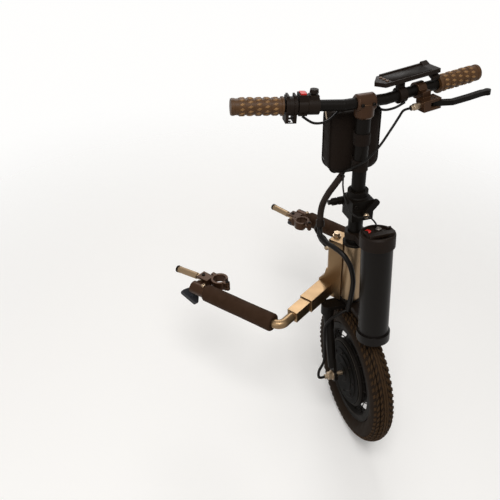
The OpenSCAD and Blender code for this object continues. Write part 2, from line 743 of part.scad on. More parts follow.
module brake_disc() {
    color("lightgray") at_wheel() difference() {
        union() {
            translate([0, 0, disc_y - disc_t / 2]) ring(disc_d / 2, disc_d / 2 - 15, disc_t);
            for (i = [0 : 5]) rotate([0, 0, i * 60]) translate([0, -6, disc_y - disc_t / 2])
                cube([disc_d / 2 - 8, 12, disc_t]);
            translate([0, 0, cover_out + 0.2]) cylinder(r = 24, h = disc_y + disc_t / 2 - cover_out - 0.2);
        }
        translate([0, 0, cover_out - 4]) cylinder(r = axle_r + 4, h = 30);
        for (i = [0 : 17]) rotate([0, 0, i * 20 + 10]) translate([disc_d / 2 - 7, 0, disc_y - 10])
            cylinder(r = 2.6, h = 20);
    }
}

// Battery
module battery_case() {
    color([0.12, 0.11, 0.1]) at_battery() difference() {
        union() {
            difference() {
                union() {
                    translate([0, 0, 3]) cylinder(r = cap_r, h = foot_ring_h - 3);
                    cylinder(r1 = cap_r - 4, r2 = cap_r, h = 3);
                }
                translate([-cap_r - 1, -rail_w / 2 - 1, -1]) cube([cap_r, rail_w + 2, foot_ring_h + 2]);
            }
            cylinder(r = battery_r, h = battery_len - cap_h);
        }
        translate([0, 0, case_floor]) cylinder(r = battery_r - case_wall, h = battery_len);
    }
}

module battery_cap() {
    color([0.16, 0.13, 0.11]) at_battery() translate([0, 0, battery_len - cap_h + seat_gap]) difference() {
        union() {
            cylinder(r = cap_r, h = cap_h - 4);
            translate([0, 0, cap_h - 4]) cylinder(r1 = cap_r, r2 = cap_r - 2.5, h = 3.9);
        }
        translate([0, 0, cap_h - lid_drop]) cylinder(r = cap_r - 6, h = 20);
        translate([0, 0, -1]) cylinder(r = battery_r - case_wall, h = 10);
        translate([button_at.x, button_at.y, cap_h - 15]) cylinder(r = button_r + free_gap, h = 20);
    }
    color([0.16, 0.13, 0.11]) at_battery() for (s = [-1, 1]) translate([bail_x, s * (bail_y - 4.5), 0]) {
        translate([-3, -2, battery_len - lid_drop - 0.5]) cube([6, 4, lid_drop + 6.5]);
        translate([0, 0, bail_z]) rotate([s * -90, 0, 0]) cylinder(r = 1.8, h = 6.4);
    }
}

module battery_cells() {
    cell_d = 18.4;
    cell_h = 65;
    layers = 3;
    color("seagreen") at_battery() for (k = [0 : layers - 1])
        translate([0, 0, case_floor + seat_gap + k * (cell_h + seat_gap)]) {
        cylinder(d = cell_d, h = cell_h);
        for (a = [0 : 60 : 300]) rotate([0, 0, a]) translate([cell_d + seat_gap, 0, 0])
            cylinder(d = cell_d, h = cell_h);
    }
}

module battery_button() {
    color("red") at_battery() translate([button_at.x, button_at.y, battery_len - 11.5]) {
        cylinder(r = button_r, h = 8);
        translate([0, 0, 8]) cylinder(r1 = button_r, r2 = button_r - 1.5, h = 1.5);
    }
}

// Flat bail on the battery cap
module battery_handle() {
    color([0.1, 0.09, 0.08]) at_battery() translate([bail_x, 0, bail_z]) difference() {
        union() {
            for (s = [-1, 1]) translate([0, s * bail_y - 2, -2.5]) cube([20, 4, 5]);
            for (s = [-1, 1]) translate([0, s * bail_y, 0]) rotate([90, 0, 0]) disc_mid(4, 4);
            translate([12, -bail_y, -2.5]) cube([14, 2 * bail_y, 5]);
        }
        rotate([90, 0, 0]) disc_mid(1.8 + run_gap, 100);
    }
}

// Folding column with the handlebar
module column_hinge() {
    color([0.1, 0.09, 0.08]) at_fork() difference() {
        union() {
            translate([fold_x + 7, -fold_w / 2, fold_z + free_gap / 2])
                cube([block_front - fold_x - 7, fold_w, block_h]);
            translate([0, 0, fold_z + block_h - 1]) cylinder(r1 = collar_r + 2, r2 = collar_r, h = 4);
            translate([0, 0, fold_z + block_h - 1]) cylinder(r = collar_r, h = collar_h);
            translate([fold_x, 0, fold_z]) rotate([90, 0, 0]) disc_mid(9, 23);
            translate([fold_x, -11.5, fold_z + free_gap / 2]) cube([12, 23, 9]);
        }
        translate([0, 0, fold_z + 8]) cylinder(r = column_r + seat_gap, h = 100);
        translate([fold_x, 0, fold_z]) rotate([90, 0, 0]) disc_mid(pin_r + run_gap, 100);
        for (s = [-1, 1]) translate([fold_x, s * 18.2, fold_z]) rotate([90, 0, 0])
            disc_mid(9 + free_gap, 13.4);
    }
}

module column_tube() {
    color([0.08, 0.07, 0.07]) at_fork() translate([0, 0, fold_z + 8])
        ring(column_r, column_r - 2.5, column_len - 8 - bar_rad - 4);
}

module stem() {
    sleeve_h = 26;
    clamp_w = 34;
    clamp_r = bar_rad + 6.5;
    color([0.2, 0.15, 0.12]) at_fork() translate([0, 0, bar_z]) difference() {
        union() {
            translate([0, 0, -sleeve_h]) cylinder(r = column_r + 5, h = sleeve_h);
            rotate([90, 0, 0]) disc_mid(clamp_r, clamp_w);
            translate([0, 0, -sleeve_h - 4]) cylinder(r1 = column_r + 2, r2 = column_r + 5, h = 4);
            for (s = [-1, 1]) translate([0, s * clamp_w / 2, 0]) rotate([s * -90, 0, 0])
                cylinder(r1 = clamp_r, r2 = clamp_r - 2.5, h = 3);
        }
        translate([0, 0, -sleeve_h - 5]) cylinder(r = column_r + seat_gap, h = sleeve_h + 5 - bar_rad - 3.8);
        rotate([90, 0, 0]) disc_mid(bar_rad + seat_gap, 100);
    }
}

module handlebar() {
    color([0.1, 0.09, 0.08]) {
        at_fork() translate([0, 0, bar_z]) rotate([90, 0, 0]) disc_mid(bar_rad, 2 * bend_y);
        for (s = [-1, 1]) at_bar(s) {
            sphere(r = bar_rad + 0.2);
            cylinder(r = bar_rad, h = bar_arm);
        }
    }
}

module grip(side) {
    ribs = 5;
    pitch = (grip_len - 18) / ribs;
    color([0.2, 0.15, 0.12]) at_bar(side) translate([0, 0, grip_start]) difference() {
        union() {
            cylinder(r = grip_r - 1, h = grip_len + 3);
            cylinder(r = grip_r + 2, h = 4);
            for (i = [0 : ribs - 1]) translate([0, 0, 10 + i * pitch]) cylinder(r = grip_r, h = pitch - 4);
            translate([0, 0, grip_len - 4]) cylinder(r = grip_r, h = 5);
        }
        translate([0, 0, -1]) cylinder(r = bar_rad + seat_gap, h = grip_len + 1 + seat_gap);
    }
}

// Brake lever clamp and body on the left half of the bar
module brake_lever_body() {
    clamp_w = 18;
    color([0.18, 0.14, 0.11]) at_bar(1) difference() {
        union() {
            translate([0, 0, brake_start]) cylinder(r = bar_rad + 5, h = clamp_w);
            translate([6, -4, brake_start]) cube([22, 26, clamp_w]);
            translate([20, lever_pivot.y - 11, brake_start - 10]) cube([26, 22, 40]);
            translate([31, lever_pivot.y, brake_start - 18]) cylinder(r = 6, h = 10);
            translate([31, lever_pivot.y, brake_start - 30]) cylinder(r = 4.5, h = 13);
        }
        translate([0, 0, brake_start - 1]) cylinder(r = bar_rad + seat_gap, h = clamp_w + 2);
        translate(lever_pivot) rotate([90, 0, 0]) disc_mid(3 + run_gap, 60);
        translate([29, lever_pivot.y - 5.4, brake_start + 6]) cube([30, 10.8, 40]);
    }
}

// Blade that is pulled back to the grip
module brake_lever() {
    thick = 10;
    color([0.14, 0.12, 0.1]) at_bar(1) translate(lever_pivot) rotate([90, 0, 0]) {
        disc_mid(3, 21);
        disc_mid(6.5, thick);
        translate([0, 0, -thick / 2]) linear_extrude(thick)
            polygon([
                [4, -3.5], [14.5, 8.7], [25.4, 26.6], [26.5, 66], [25.5, 98], [28, 110],
                [18, 112], [14.5, 99], [15.5, 66], [14.6, 29.6], [5.6, 15.2], [-4, 3.5]
            ]);
        translate([22.5, 111, 0]) disc_mid(7, thick);
    }
}

module throttle_body() {
    color([0.12, 0.1, 0.09]) at_bar(-1) difference() {
        union() {
            translate([0, 0, lever_start]) cylinder(r = bar_rad + 8, h = 22);
            translate([-14, 8, lever_start]) cube([28, 22, 22]);
            translate([-12, -22, lever_start + 2]) cube([22, 8, 18]);
        }
        translate([0, 0, lever_start - 1]) cylinder(r = bar_rad + seat_gap, h = 30);
        translate([0, 0, lever_start + 6]) ring(bar_rad + 20, bar_rad + 3, 10);
    }
}

// Paddle that the thumb pushes, turning on the bar
module throttle_lever() {
    wide = 10 - 2 * free_gap;
    color([0.16, 0.13, 0.11]) at_bar(-1) translate([0, 0, lever_start + 6 + free_gap]) {
        ring(bar_rad + 7, bar_rad + 3 + free_gap, wide);
        rotate([0, 0, -170]) translate([bar_rad + 5, -5, 0]) cube([24, 8, wide]);
    }
}

module switch_housing() {
    color([0.12, 0.1, 0.09]) at_bar(-1) difference() {
        union() {
            translate([0, 0, switch_start]) cylinder(r = bar_rad + 6, h = 22);
            translate([-10, -22, switch_start + 2]) cube([20, 12, 18]);
            translate([0, 0, switch_start + 24]) cylinder(r = bar_rad + 6, h = 17);
            translate([-13, -24, switch_start + 24]) cube([26, 40, 17]);
            translate([0, 0, switch_start + 20]) cylinder(r = bar_rad + 4, h = 6);
        }
        translate([0, 0, switch_start - 1]) cylinder(r = bar_rad + seat_gap, h = 50);
        translate([0, -13.5, switch_start + 11]) rotate([90, 0, 0]) cylinder(r = 5 + free_gap, h = 20);
        translate([-9 - free_gap, -30, switch_start + 27]) cube([18 + 2 * free_gap, 14, 11 + 2 * free_gap]);
    }
}

module red_button() {
    color("red") at_bar(-1) translate([-9, -26.5, switch_start + 27 + free_gap]) cube([18, 7, 11]);
}

module knob_button() {
    color("black") at_bar(-1) translate([0, -17, switch_start + 11]) rotate([90, 0, 0]) {
        cylinder(r = 5, h = 12);
        translate([0, 0, 8.5]) cylinder(r1 = 9, r2 = 8, h = 7);
    }
}

// Bracket and tilting screen holder beside the stem
module display_bracket() {
    color([0.12, 0.1, 0.09]) at_bar(1) difference() {
        union() {
            translate([0, 0, screen_pivot.z]) disc_mid(bar_rad + 5, 16);
            translate([-5.5, screen_pivot.y, screen_pivot.z - 8]) cube([9, -screen_pivot.y, 16]);
            translate(screen_pivot) disc_mid(4.5, 16);
        }
        translate([0, 0, screen_pivot.z]) disc_mid(bar_rad + seat_gap, 40);
        translate(screen_pivot) disc_mid(2 + run_gap, 60);
        translate(screen_pivot) disc_mid(6, 8);
    }
}

// Plate with a slanted inner end, a raised rear edge and a jaw at its outer end
module display() {
    plate_end = grip_start - screen_pivot.z - 4;
    color([0.14, 0.11, 0.09]) at_bar(1) translate(screen_pivot) {
        disc_mid(2, 15.6);
        disc_mid(4.5, 7.2);
        translate([-4, -8, -3.6]) cube([8, 8, 7.2]);
        translate([0, -5, 0]) rotate([90, 0, 0]) linear_extrude(8.5) polygon([
            [-30, -36], [-30, plate_end], [16, plate_end], [16, -44], [-6, -56]]);
        translate([-29.5, -16, -30]) cube([4, 3, plate_end + 28]);
        translate([-29, -19, plate_end - 16]) rotate([0, 0, 24]) cube([50, 8, 15.5]);
    }
}

// Fabric pouch behind the column, held to it by a strap
module bag() {
    corner = 14;
    strap_h = 24;
    bag_x = -column_r - 5.6;
    bag_z = bar_z - 27 - bag_h;
    color([0.05, 0.05, 0.05]) at_fork() {
        translate([bag_x, 0, bag_z]) hull() {
            for (x = [-bag_d + corner, -corner], y = [-1, 1], z = [2 * corner, bag_h - corner])
                translate([x, y * (bag_w / 2 - corner), z]) sphere(r = corner, $fn = 24);
            for (y = [-1, 1]) translate([-bag_d / 2, y * (bag_w / 2 - 2 * corner), corner])
                sphere(r = corner, $fn = 24);
        }
        translate([0, 0, bag_z + bag_h - 60]) difference() {
            union() {
                cylinder(r = column_r + 2.5, h = strap_h);
                translate([bag_x - 3, -11, 0]) cube([-bag_x + 3, 22, strap_h]);
            }
            translate([0, 0, -1]) cylinder(r = column_r + seat_gap, h = strap_h + 2);
        }
    }
}

module bar_leads() {
    color("black") at_fork() {
        lead(right_leads, 5, 2);
        lead(left_leads, 5, 2);
    }
}

module brake_cable() {
    color("black") at_fork() {
        lead(brake_route, 5, 2);
        lead(lead_route, 3.6, 2);
    }
}

// Diagonal latch on the front of the fold joint, turning on a ball-headed bolt
module latch_lever() {
    color([0.14, 0.11, 0.09]) at_fork() translate(latch_pin) rotate([90, 0, 90]) {
        strap([0, 0], [23, 25.5], 15, 7);
        rotate_extrude() {
            translate([0, -13]) square([4, 18]);
            intersection() {
                translate([0, 8]) circle(r = 6);
                translate([0, 4]) square([10, 11]);
            }
        }
    }
}

main_post();
head_tube();
bearing_cups();
cross_beam();
frame_bolts();
controller_plug();
arm(-1);  // right_arm
arm(1);  // left_arm
foam(-1);  // right_foam
foam(1);  // left_foam
clamp_body(-1);  // right_clamp
clamp_body(1);  // left_clamp
jaw(-1);  // right_jaw
jaw(1);  // left_jaw
lock_lever(-1);  // right_lock_lever
lock_lever(1);  // left_lock_lever
wing_knob(-1);  // right_wing_knob
wing_knob(1);  // left_wing_knob
fork();
crown_plate();
column_base();
fold_pin();
battery_cradle();
axle();
motor_stator();
brake_caliper();
motor_cable();
fork_conduit();
control_conduit();
caliper_arm();
tyre();
rim();
spokes();
motor_shell();
motor_covers();
brake_disc();
battery_case();
battery_cap();
battery_cells();
battery_button();
battery_handle();
column_tube();
column_hinge();
stem();
handlebar();
grip(-1);  // right_grip
grip(1);  // left_grip
brake_lever_body();
throttle_body();
switch_housing();
display_bracket();
bag();
bar_leads();
brake_cable();
latch_lever();
brake_lever();
throttle_lever();
red_button();
knob_button();
display();
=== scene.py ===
"""Looks of a front power-assist unit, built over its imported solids."""

import math

import bmesh
import bpy
from mathutils import Matrix, Vector


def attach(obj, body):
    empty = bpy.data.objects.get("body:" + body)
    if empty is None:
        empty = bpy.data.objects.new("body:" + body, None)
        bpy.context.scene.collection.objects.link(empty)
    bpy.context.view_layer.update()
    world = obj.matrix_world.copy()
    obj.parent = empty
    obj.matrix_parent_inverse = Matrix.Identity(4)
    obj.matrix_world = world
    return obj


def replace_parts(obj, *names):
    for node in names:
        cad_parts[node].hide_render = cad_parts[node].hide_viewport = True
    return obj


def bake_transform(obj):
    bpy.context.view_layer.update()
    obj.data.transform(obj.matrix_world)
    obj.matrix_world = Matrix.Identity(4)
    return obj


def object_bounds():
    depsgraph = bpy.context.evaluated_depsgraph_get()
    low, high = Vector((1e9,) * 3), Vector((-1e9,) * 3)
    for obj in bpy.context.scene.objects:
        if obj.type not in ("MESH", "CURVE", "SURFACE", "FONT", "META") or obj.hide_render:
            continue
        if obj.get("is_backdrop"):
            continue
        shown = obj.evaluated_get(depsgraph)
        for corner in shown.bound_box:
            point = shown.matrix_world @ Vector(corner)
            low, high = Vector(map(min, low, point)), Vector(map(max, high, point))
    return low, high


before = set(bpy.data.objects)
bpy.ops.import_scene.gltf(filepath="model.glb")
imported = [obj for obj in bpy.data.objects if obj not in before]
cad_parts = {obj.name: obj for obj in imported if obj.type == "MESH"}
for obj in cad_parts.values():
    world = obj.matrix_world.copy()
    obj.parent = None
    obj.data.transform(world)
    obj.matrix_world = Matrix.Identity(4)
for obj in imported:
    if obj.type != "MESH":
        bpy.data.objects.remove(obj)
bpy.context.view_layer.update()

bl_info = {
    "name": "Wheelchair power assist",
    "version": (1, 0, 0),
    "blender": (4, 5, 0),
    "location": "View3D > Sidebar > Power assist",
    "description": "Dresses the packed solids of a wheelchair power assist",
    "category": "Object",
}

MM = 0.001
SIDES = ((-1, "right"), (1, "left"))

# Sizes and places of the solids that the pieces sit on, in millimetres and degrees
FOOT = (299.599, 0, -193.375)
RAKE = 7.2
STEER = 33.5
FORK_OFFSET = 50
TYRE_RADIUS = 179
TYRE_ROUND = 27
RIM_IN = 109
FLANGE_RADIUS = 89.9
FLANGE_Z = 16
SPOKE_COUNT = 36
SPOKE_CROSS = 3
SPOKE_SEAT_Z = 3
COVER_FACE = 28.6
COVER_SCREWS = 8
COVER_SCREW_CIRCLE = 57
FOLD_Z = 465.8
LATCH_END = (38.4, 4, FOLD_Z - 9)
BAR_Z = 694.8
BAR_BEND = 45
BAR_SWEEP = 6.8636
BAR_RISE = 4.7636
GRIP_START = 120.32
GRIP_RADIUS = 16.4
LEVER_START = GRIP_START - 26
BRAKE_START = GRIP_START - 52
SWITCH_START = GRIP_START - 70
COLUMN_RADIUS = 15
CLAMP_AT = (-273, 174, 229.4)
RING_HEIGHT = 22
JAW_PIN = (26.5, 0, 0)
LEVER_PIN = (-42, 14, 0)
LEVER_SWING = 172
HANDLE_END = 84
ARM_BEND = (-74.744, 204, 220.4)
ARM_SPLAY = 4
FOAM_START = 2
FOAM_END = 203.84
FOAM_RADIUS = 21.5
FOAM_BORE = 11.2
FOAM_DISH = 1.5
BATTERY_FOOT = (128, 0, 183)
BATTERY_LEAN = 5.5
BATTERY_LENGTH = 272
BAG_FOOT = (-20.6, 0, BAR_Z - 165)
SOCKET_RADIUS = 16
PLUG_SEAT = (-58, 0, 317.4)
PLUG_TILT = -50

# Tread: turn from the first block, tilt at both ends and slant in degrees, then half the width
TREAD_BLOCKS = ((0, 14.5, 27, 3.4, 5.2), (2.2, 31, 44, 3.4, 5.0), (4.4, 48, 62, 1.6, 4.4))
TREAD_RIBS = ((-10.5, -1), (1, 10.5))
TREAD_SWAY = 1.2
TREAD_ROOT = -0.8

# Radius and height of the screw heads that come more than once
CLAMP_SCREW = (4.6, 2.6)
FOLD_SCREW = (4, 2.6)
HOUSING_SCREW = (3.0, 2.0)

# Diameters of the leads
SLEEVE_WIDE = 15
CONDUIT_WIDE = 12
MOTOR_WIDE = 7
CABLE_WIDE = 5
THIN_WIDE = 3.6

# Routes of the leads: the first two in the frame of the head, the others in that of the fork
ROUTE_STEPS = 8
SLEEVE_ROUTE = [(-34.3, -13, 530.8), (-48, -12, 508.3), (-70, -9, 471.8), (-85, -6, 439.8),
                (-90.5, -5, 413.8), (-88.5, -8.5, 397.8)]
SLEEVE_CUT = 13
FORK_ROUTE = [(-86, -12.9, 381.4), (-84.8, -15.1, 373.6), (-76, -22, 362.4), (-55, -30, 358.4),
              (-31, -35, 357.4), (-4, -37, 348.4), (17, -38, 325.4), (27, -39, 291.4), (27, -41, 253.4),
              (22, -44, 202)]
MOTOR_ROUTE = [(42, -27, 203), (40, -42, 196), (34, -60, 180), (30, -76, 150), (36, -78, 100),
               (42, -80, 50), (46, -94, 22), (50, -96, 6), (50, -90, 0), (50, -80.3, 0)]
BRAKE_ROUTE = [(26.1, 87.4, 679), (29.1, 70.4, 677.5), (41.1, 54.4, 670), (48.1, 36.4, 651),
               (46, 14, 615.8), (30, -6, 581.8), (4, -20, 557.8), (-16.9, -23.6, 542.6),
               (-22.6, -26.8, 532.1)]
LEAD_ROUTE = [(-19.1, -32.9, 532.1), (-16.2, -31.3, 537.8), (-7, -33, 537.8), (2, -37, 519.8),
              (14, -38, 499.8), (32, -36, 478.8), (52.4, -24, 467.1), (69, -6, 472.7), (79.6, 6, 460),
              (78.5, 6, 447.4)]
LEAD_CUT = 40
RIGHT_LEADS = [(6, -132, 687), (10, -110, 671.8), (2, -80, 667.8), (-14, -52, 675.8), (-32, -32, 682.8),
               (-38, -28, 668.8)]
LEFT_LEADS = [(9.2, 83.3, 686.2), (6, 62, 675.8), (-6, 42, 671.8), (-28, 28, 682.8), (-36, 24, 668.8)]

# Camera at the photograph's view, in metres
CAMERA_AT = (0.690, -0.940, 0.942)
CAMERA_RIGHT = (0.7587, 0.6493, 0.0528)
CAMERA_UP = (-0.4409, 0.4521, 0.7753)
CAMERA_LOOK = (-0.4795, 0.6115, -0.6293)
CAMERA_LENS = 39.88

# Lamps: name, place and size in metres, power in watts
LAMPS = (("key", (0.9, -1.2, 2.6), 1.3, 46), ("fill", (0.2, -2.6, 0.9), 1.8, 8),
         ("rim", (-1.4, 1.5, 2.0), 1.4, 26))


def linear(code):
    """Linear colour of an sRGB hex value."""
    parts = [int(code[i:i + 2], 16) / 255 for i in (1, 3, 5)]
    return tuple(c / 12.92 if c <= 0.04045 else ((c + 0.055) / 1.055) ** 2.4 for c in parts)


def scaled(colour, share):
    return tuple(share * c for c in colour)


class AssistSizes(bpy.types.PropertyGroup):
    """Sizes of the pieces that the scene adds."""

    tread_height: bpy.props.FloatProperty(
        name="Tread height", description="Height of the ribs and blocks above the tyre", default=0.0025,
        min=0.0005, max=0.004, unit="LENGTH")
    tread_count: bpy.props.IntProperty(
        name="Tread blocks", description="Number of blocks in each row round the tyre", default=66,
        min=30, max=90)
    foam_round: bpy.props.FloatProperty(
        name="Foam edge", description="Rounding at the ends of the foam sleeves", default=0.005,
        min=0.001, max=0.008, unit="LENGTH")
    grip_pad: bpy.props.FloatProperty(
        name="Grip pad height", description="Height of the diamonds on the grips", default=0.0013,
        min=0.0004, max=0.002, unit="LENGTH")
    piping: bpy.props.FloatProperty(
        name="Piping", description="Thickness of the piping round the pouch", default=0.0032,
        min=0.002, max=0.005, unit="LENGTH")


class AssistColours(bpy.types.PropertyGroup):
    """Main colours of the unit."""

    metal: bpy.props.FloatVectorProperty(
        name="Frame metal", description="Anodised docking frame", default=linear("#967C5D"),
        subtype="COLOR", min=0, max=1)
    coat: bpy.props.FloatVectorProperty(
        name="Powder coat", description="Fork, column and handlebar", default=linear("#110D09"),
        subtype="COLOR", min=0, max=1)
    foam: bpy.props.FloatVectorProperty(
        name="Foam", description="Sleeves on the arms", default=linear("#3A2719"),
        subtype="COLOR", min=0, max=1)
    fabric: bpy.props.FloatVectorProperty(
        name="Pouch fabric", description="Woven nylon of the pouch", default=linear("#17100B"),
        subtype="COLOR", min=0, max=1)
    button: bpy.props.FloatVectorProperty(
        name="Buttons", description="Red push buttons", default=linear("#D3231C"),
        subtype="COLOR", min=0, max=1)


def turn(axis, angle):
    return Matrix.Rotation(math.radians(angle), 4, axis)


def move(x, y, z):
    return Matrix.Translation((x, y, z))


def flip(side):
    return Matrix.Diagonal((1, side, 1, 1))


def polar(radius, angle, height):
    """Point at a radius, an angle in radians about the z axis, and a height."""
    return radius * math.cos(angle), radius * math.sin(angle), height


HEAD = move(*FOOT) @ turn("Y", -RAKE)
FORK = HEAD @ turn("Z", -STEER)
WHEEL = FORK @ move(FORK_OFFSET, 0, 0) @ turn("X", -90)
BATTERY = FORK @ move(*BATTERY_FOOT) @ turn("Y", -BATTERY_LEAN)


def bar_place(side):
    """Along one half of the handlebar: x ahead, y down, z outwards from the bend."""
    bend = FORK @ flip(side) @ move(0, BAR_BEND, BAR_Z)
    return bend @ turn("Z", BAR_SWEEP) @ turn("X", BAR_RISE) @ turn("X", -90)


def arm_place(side):
    """Along the rear bar of one arm: z runs back from the bend."""
    return HEAD @ flip(side) @ move(*ARM_BEND) @ turn("Z", -ARM_SPLAY) @ turn("Y", -90)


def clamp_place(side):
    """In the middle of one clamp's ring, with z along the head."""
    return HEAD @ flip(side) @ move(*CLAMP_AT)


def tyre_skin(tilt, rise):
    """Radius and height of the tyre's skin at a tilt in degrees from its crown, raised a little."""
    out = TYRE_ROUND + rise
    a = math.radians(tilt)
    return TYRE_RADIUS - TYRE_ROUND + out * math.cos(a), out * math.sin(a)


def smooth_route(points):
    """Points of a smooth curve through a route."""
    p = [Vector(q) for q in points]
    out = []
    for i in range(len(p) - 1):
        a, b, c, d = p[max(i - 1, 0)], p[i], p[i + 1], p[min(i + 2, len(p) - 1)]
        for k in range(ROUTE_STEPS):
            t = k / ROUTE_STEPS
            out.append(b + (c - a) * t / 2 + (2 * a - 5 * b + 4 * c - d) * t * t / 2
                       + (3 * b - a - 3 * c + d) * t * t * t / 2)
    return out + [p[-1]]


class Form:
    """Points and faces of one piece, gathered in millimetres in the frame of the whole part."""

    def __init__(self):
        self.points = []
        self.faces = []

    def add(self, place, points, faces):
        start = len(self.points)
        self.points += [place @ Vector(p) for p in points]
        self.faces += [[start + i for i in f] for f in faces]

    def rings(self, place, rings, round_trip=False):
        """Skin over rings of equal count, closed by caps; round_trip joins the last ring to the first."""
        n = len(rings[0])
        points = [p for ring in rings for p in ring]
        last = len(rings) if round_trip else len(rings) - 1
        faces = []
        for i in range(last):
            a, b = i * n, (i + 1) % len(rings) * n
            faces += [[a + k, a + (k + 1) % n, b + (k + 1) % n, b + k] for k in range(n)]
        if not round_trip:
            faces += [list(range(n)), list(range(len(points) - n, len(points)))]
        self.add(place, points, faces)

    def lathe(self, place, profile, steps=32, closed=False):
        """Profile of radius and height turned about the place's z axis; closed for a ring."""
        rings = [[polar(r, math.tau * k / steps, z) for k in range(steps)] for r, z in profile]
        self.rings(place, rings, closed)

    def tube(self, place, way, radius, sides=14):
        """Round tube along points; the first normal is one that no lead starts along."""
        way = [Vector(p) for p in way]
        normal = Vector((0.31, 0.9, 0.3))
        rings = []
        for i, p in enumerate(way):
            along = (way[min(i + 1, len(way) - 1)] - way[max(i - 1, 0)]).normalized()
            normal = (normal - along * normal.dot(along)).normalized()
            other = along.cross(normal)
            rings.append([p + radius * (normal * math.cos(math.tau * k / sides)
                                        + other * math.sin(math.tau * k / sides)) for k in range(sides)])
        self.rings(place, rings)

    def plate(self, place, size, edge):
        """Flat block centred on the place's origin, with its corners and rims taken off."""
        x, y, z = (s / 2 for s in size)
        outline = []
        for sx, sy in ((1, 1), (-1, 1), (-1, -1), (1, -1)):
            corner = [(sx * x, sy * (y - edge)), (sx * (x - edge), sy * y)]
            outline += corner if sx * sy > 0 else corner[::-1]
        rings = []
        for h, inset in ((-z, edge), (-z + edge, 0), (z - edge, 0), (z, edge)):
            rings.append([(px * (1 - inset / x), py * (1 - inset / y), h) for px, py in outline])
        self.rings(place, rings)

    def screw(self, place, radius, height):
        """Round screw head with a socket, standing on the place's z plane."""
        rim = min(0.25 * radius, 0.3 * height)
        head = [(radius, -0.4), (radius, height - rim), (radius - rim, height)]
        socket = [(0.55 * radius, height), (0.5 * radius, 0.45 * height), (0.05, 0.4 * height)]
        self.lathe(place, head + socket, 20)

    def piece(self, name, body, finish, slot, sharp=38):
        """The shown object, riding on a body of the frame."""
        mesh = bpy.data.meshes.new(name)
        mesh.from_pydata([p * MM for p in self.points], [], self.faces)
        work = bmesh.new()
        work.from_mesh(mesh)
        bmesh.ops.recalc_face_normals(work, faces=work.faces)
        work.to_mesh(mesh)
        work.free()
        mesh.shade_smooth()
        mesh.set_sharp_from_angle(angle=math.radians(sharp))
        mesh.materials.append(bpy.data.materials[finish])
        piece = bpy.data.objects.new(name, mesh)
        bpy.context.scene.collection.objects.link(piece)
        if body:
            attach(piece, body)
        return piece


def add(tree, kind, values, **settings):
    """Adds a node, with its settings, and its inputs as values or links."""
    node = tree.nodes.new(kind)
    for name, value in settings.items():
        setattr(node, name, value)
    for key, value in values.items():
        if isinstance(value, bpy.types.NodeSocket):
            tree.links.new(value, node.inputs[key])
        else:
            node.inputs[key].default_value = value
    return node


def per(size):
    """Texture scale for a detail of that size in millimetres."""
    return 1 / (size * MM)


def bands(spacing, rate=20):
    """Scale of a wave texture for bands that far apart in millimetres; its phase grows at that rate."""
    return math.tau / (rate * spacing * MM)


def new_finish(name, colour, metallic, roughness, **sockets):
    """Material with one shader, whose further sockets are named with _ for a space."""
    material = bpy.data.materials.new(name)
    material.use_nodes = True
    tree = material.node_tree
    tree.nodes.clear()
    shader = add(tree, "ShaderNodeBsdfPrincipled", {
        "Base Color": (*colour, 1), "Metallic": metallic, "Roughness": roughness,
        **{key.replace("_", " "): value for key, value in sockets.items()}})
    add(tree, "ShaderNodeOutputMaterial", {"Surface": shader.outputs[0]})
    where = add(tree, "ShaderNodeTexCoord", {}).outputs["Object"]
    return tree, shader, where


def patches(tree, shader, where, colour, other, size, low, high):
    """Soft change of colour and gloss over patches of that size in millimetres."""
    cloud = add(tree, "ShaderNodeTexNoise", {"Vector": where, "Scale": per(size), "Detail": 4.0}).outputs[0]
    tone = add(tree, "ShaderNodeMix", {0: cloud, 6: (*colour, 1), 7: (*other, 1)},
               data_type="RGBA").outputs[2]
    gloss = add(tree, "ShaderNodeMapRange", {0: cloud, 1: 0.3, 2: 0.7, 3: low, 4: high}).outputs[0]
    tree.links.new(tone, shader.inputs["Base Color"])
    tree.links.new(gloss, shader.inputs["Roughness"])
    return tone


def worn_and_highlit_edges(tree, shader, tone, colour, width, share):
    """Edges that catch the light: rounded in the shading, and mixed to another colour that is rubbed wear
    and on some finishes also a painted highlight.

    The edge colour sets in where the rounded normal leans by 11 degrees and is full at 35 degrees.
    """
    start, full = 0.98, 0.82
    rounded = add(tree, "ShaderNodeBevel", {"Radius": width * MM}, samples=6).outputs[0]
    flat = add(tree, "ShaderNodeNewGeometry", {}).outputs["Normal"]
    turned = add(tree, "ShaderNodeVectorMath", {0: rounded, 1: flat},
                 operation="DOT_PRODUCT").outputs["Value"]
    edge = add(tree, "ShaderNodeMapRange", {0: turned, 1: start, 2: full, 3: 0.0, 4: share}).outputs[0]
    # Edge colour mixed in: rubbed wear, and on some finishes a painted highlight
    mixed = add(tree, "ShaderNodeMix", {0: edge, 6: tone, 7: (*colour, 1)}, data_type="RGBA").outputs[2]
    tree.links.new(mixed, shader.inputs["Base Color"])
    return rounded


def relief(tree, shader, height, depth, strength=1.0, under=None):
    """Bumps of that depth in millimetres, over another normal where there is one."""
    values = {"Height": height, "Distance": depth * MM, "Strength": strength}
    if under:
        values["Normal"] = under
    tree.links.new(add(tree, "ShaderNodeBump", values).outputs[0], shader.inputs["Normal"])


def grain(tree, shader, where, size, depth, under=None):
    """Fine relief of that grain size and depth in millimetres."""
    noise = add(tree, "ShaderNodeTexNoise", {"Vector": where, "Scale": per(size), "Detail": 2.0}).outputs[0]
    relief(tree, shader, noise, depth, under=under)


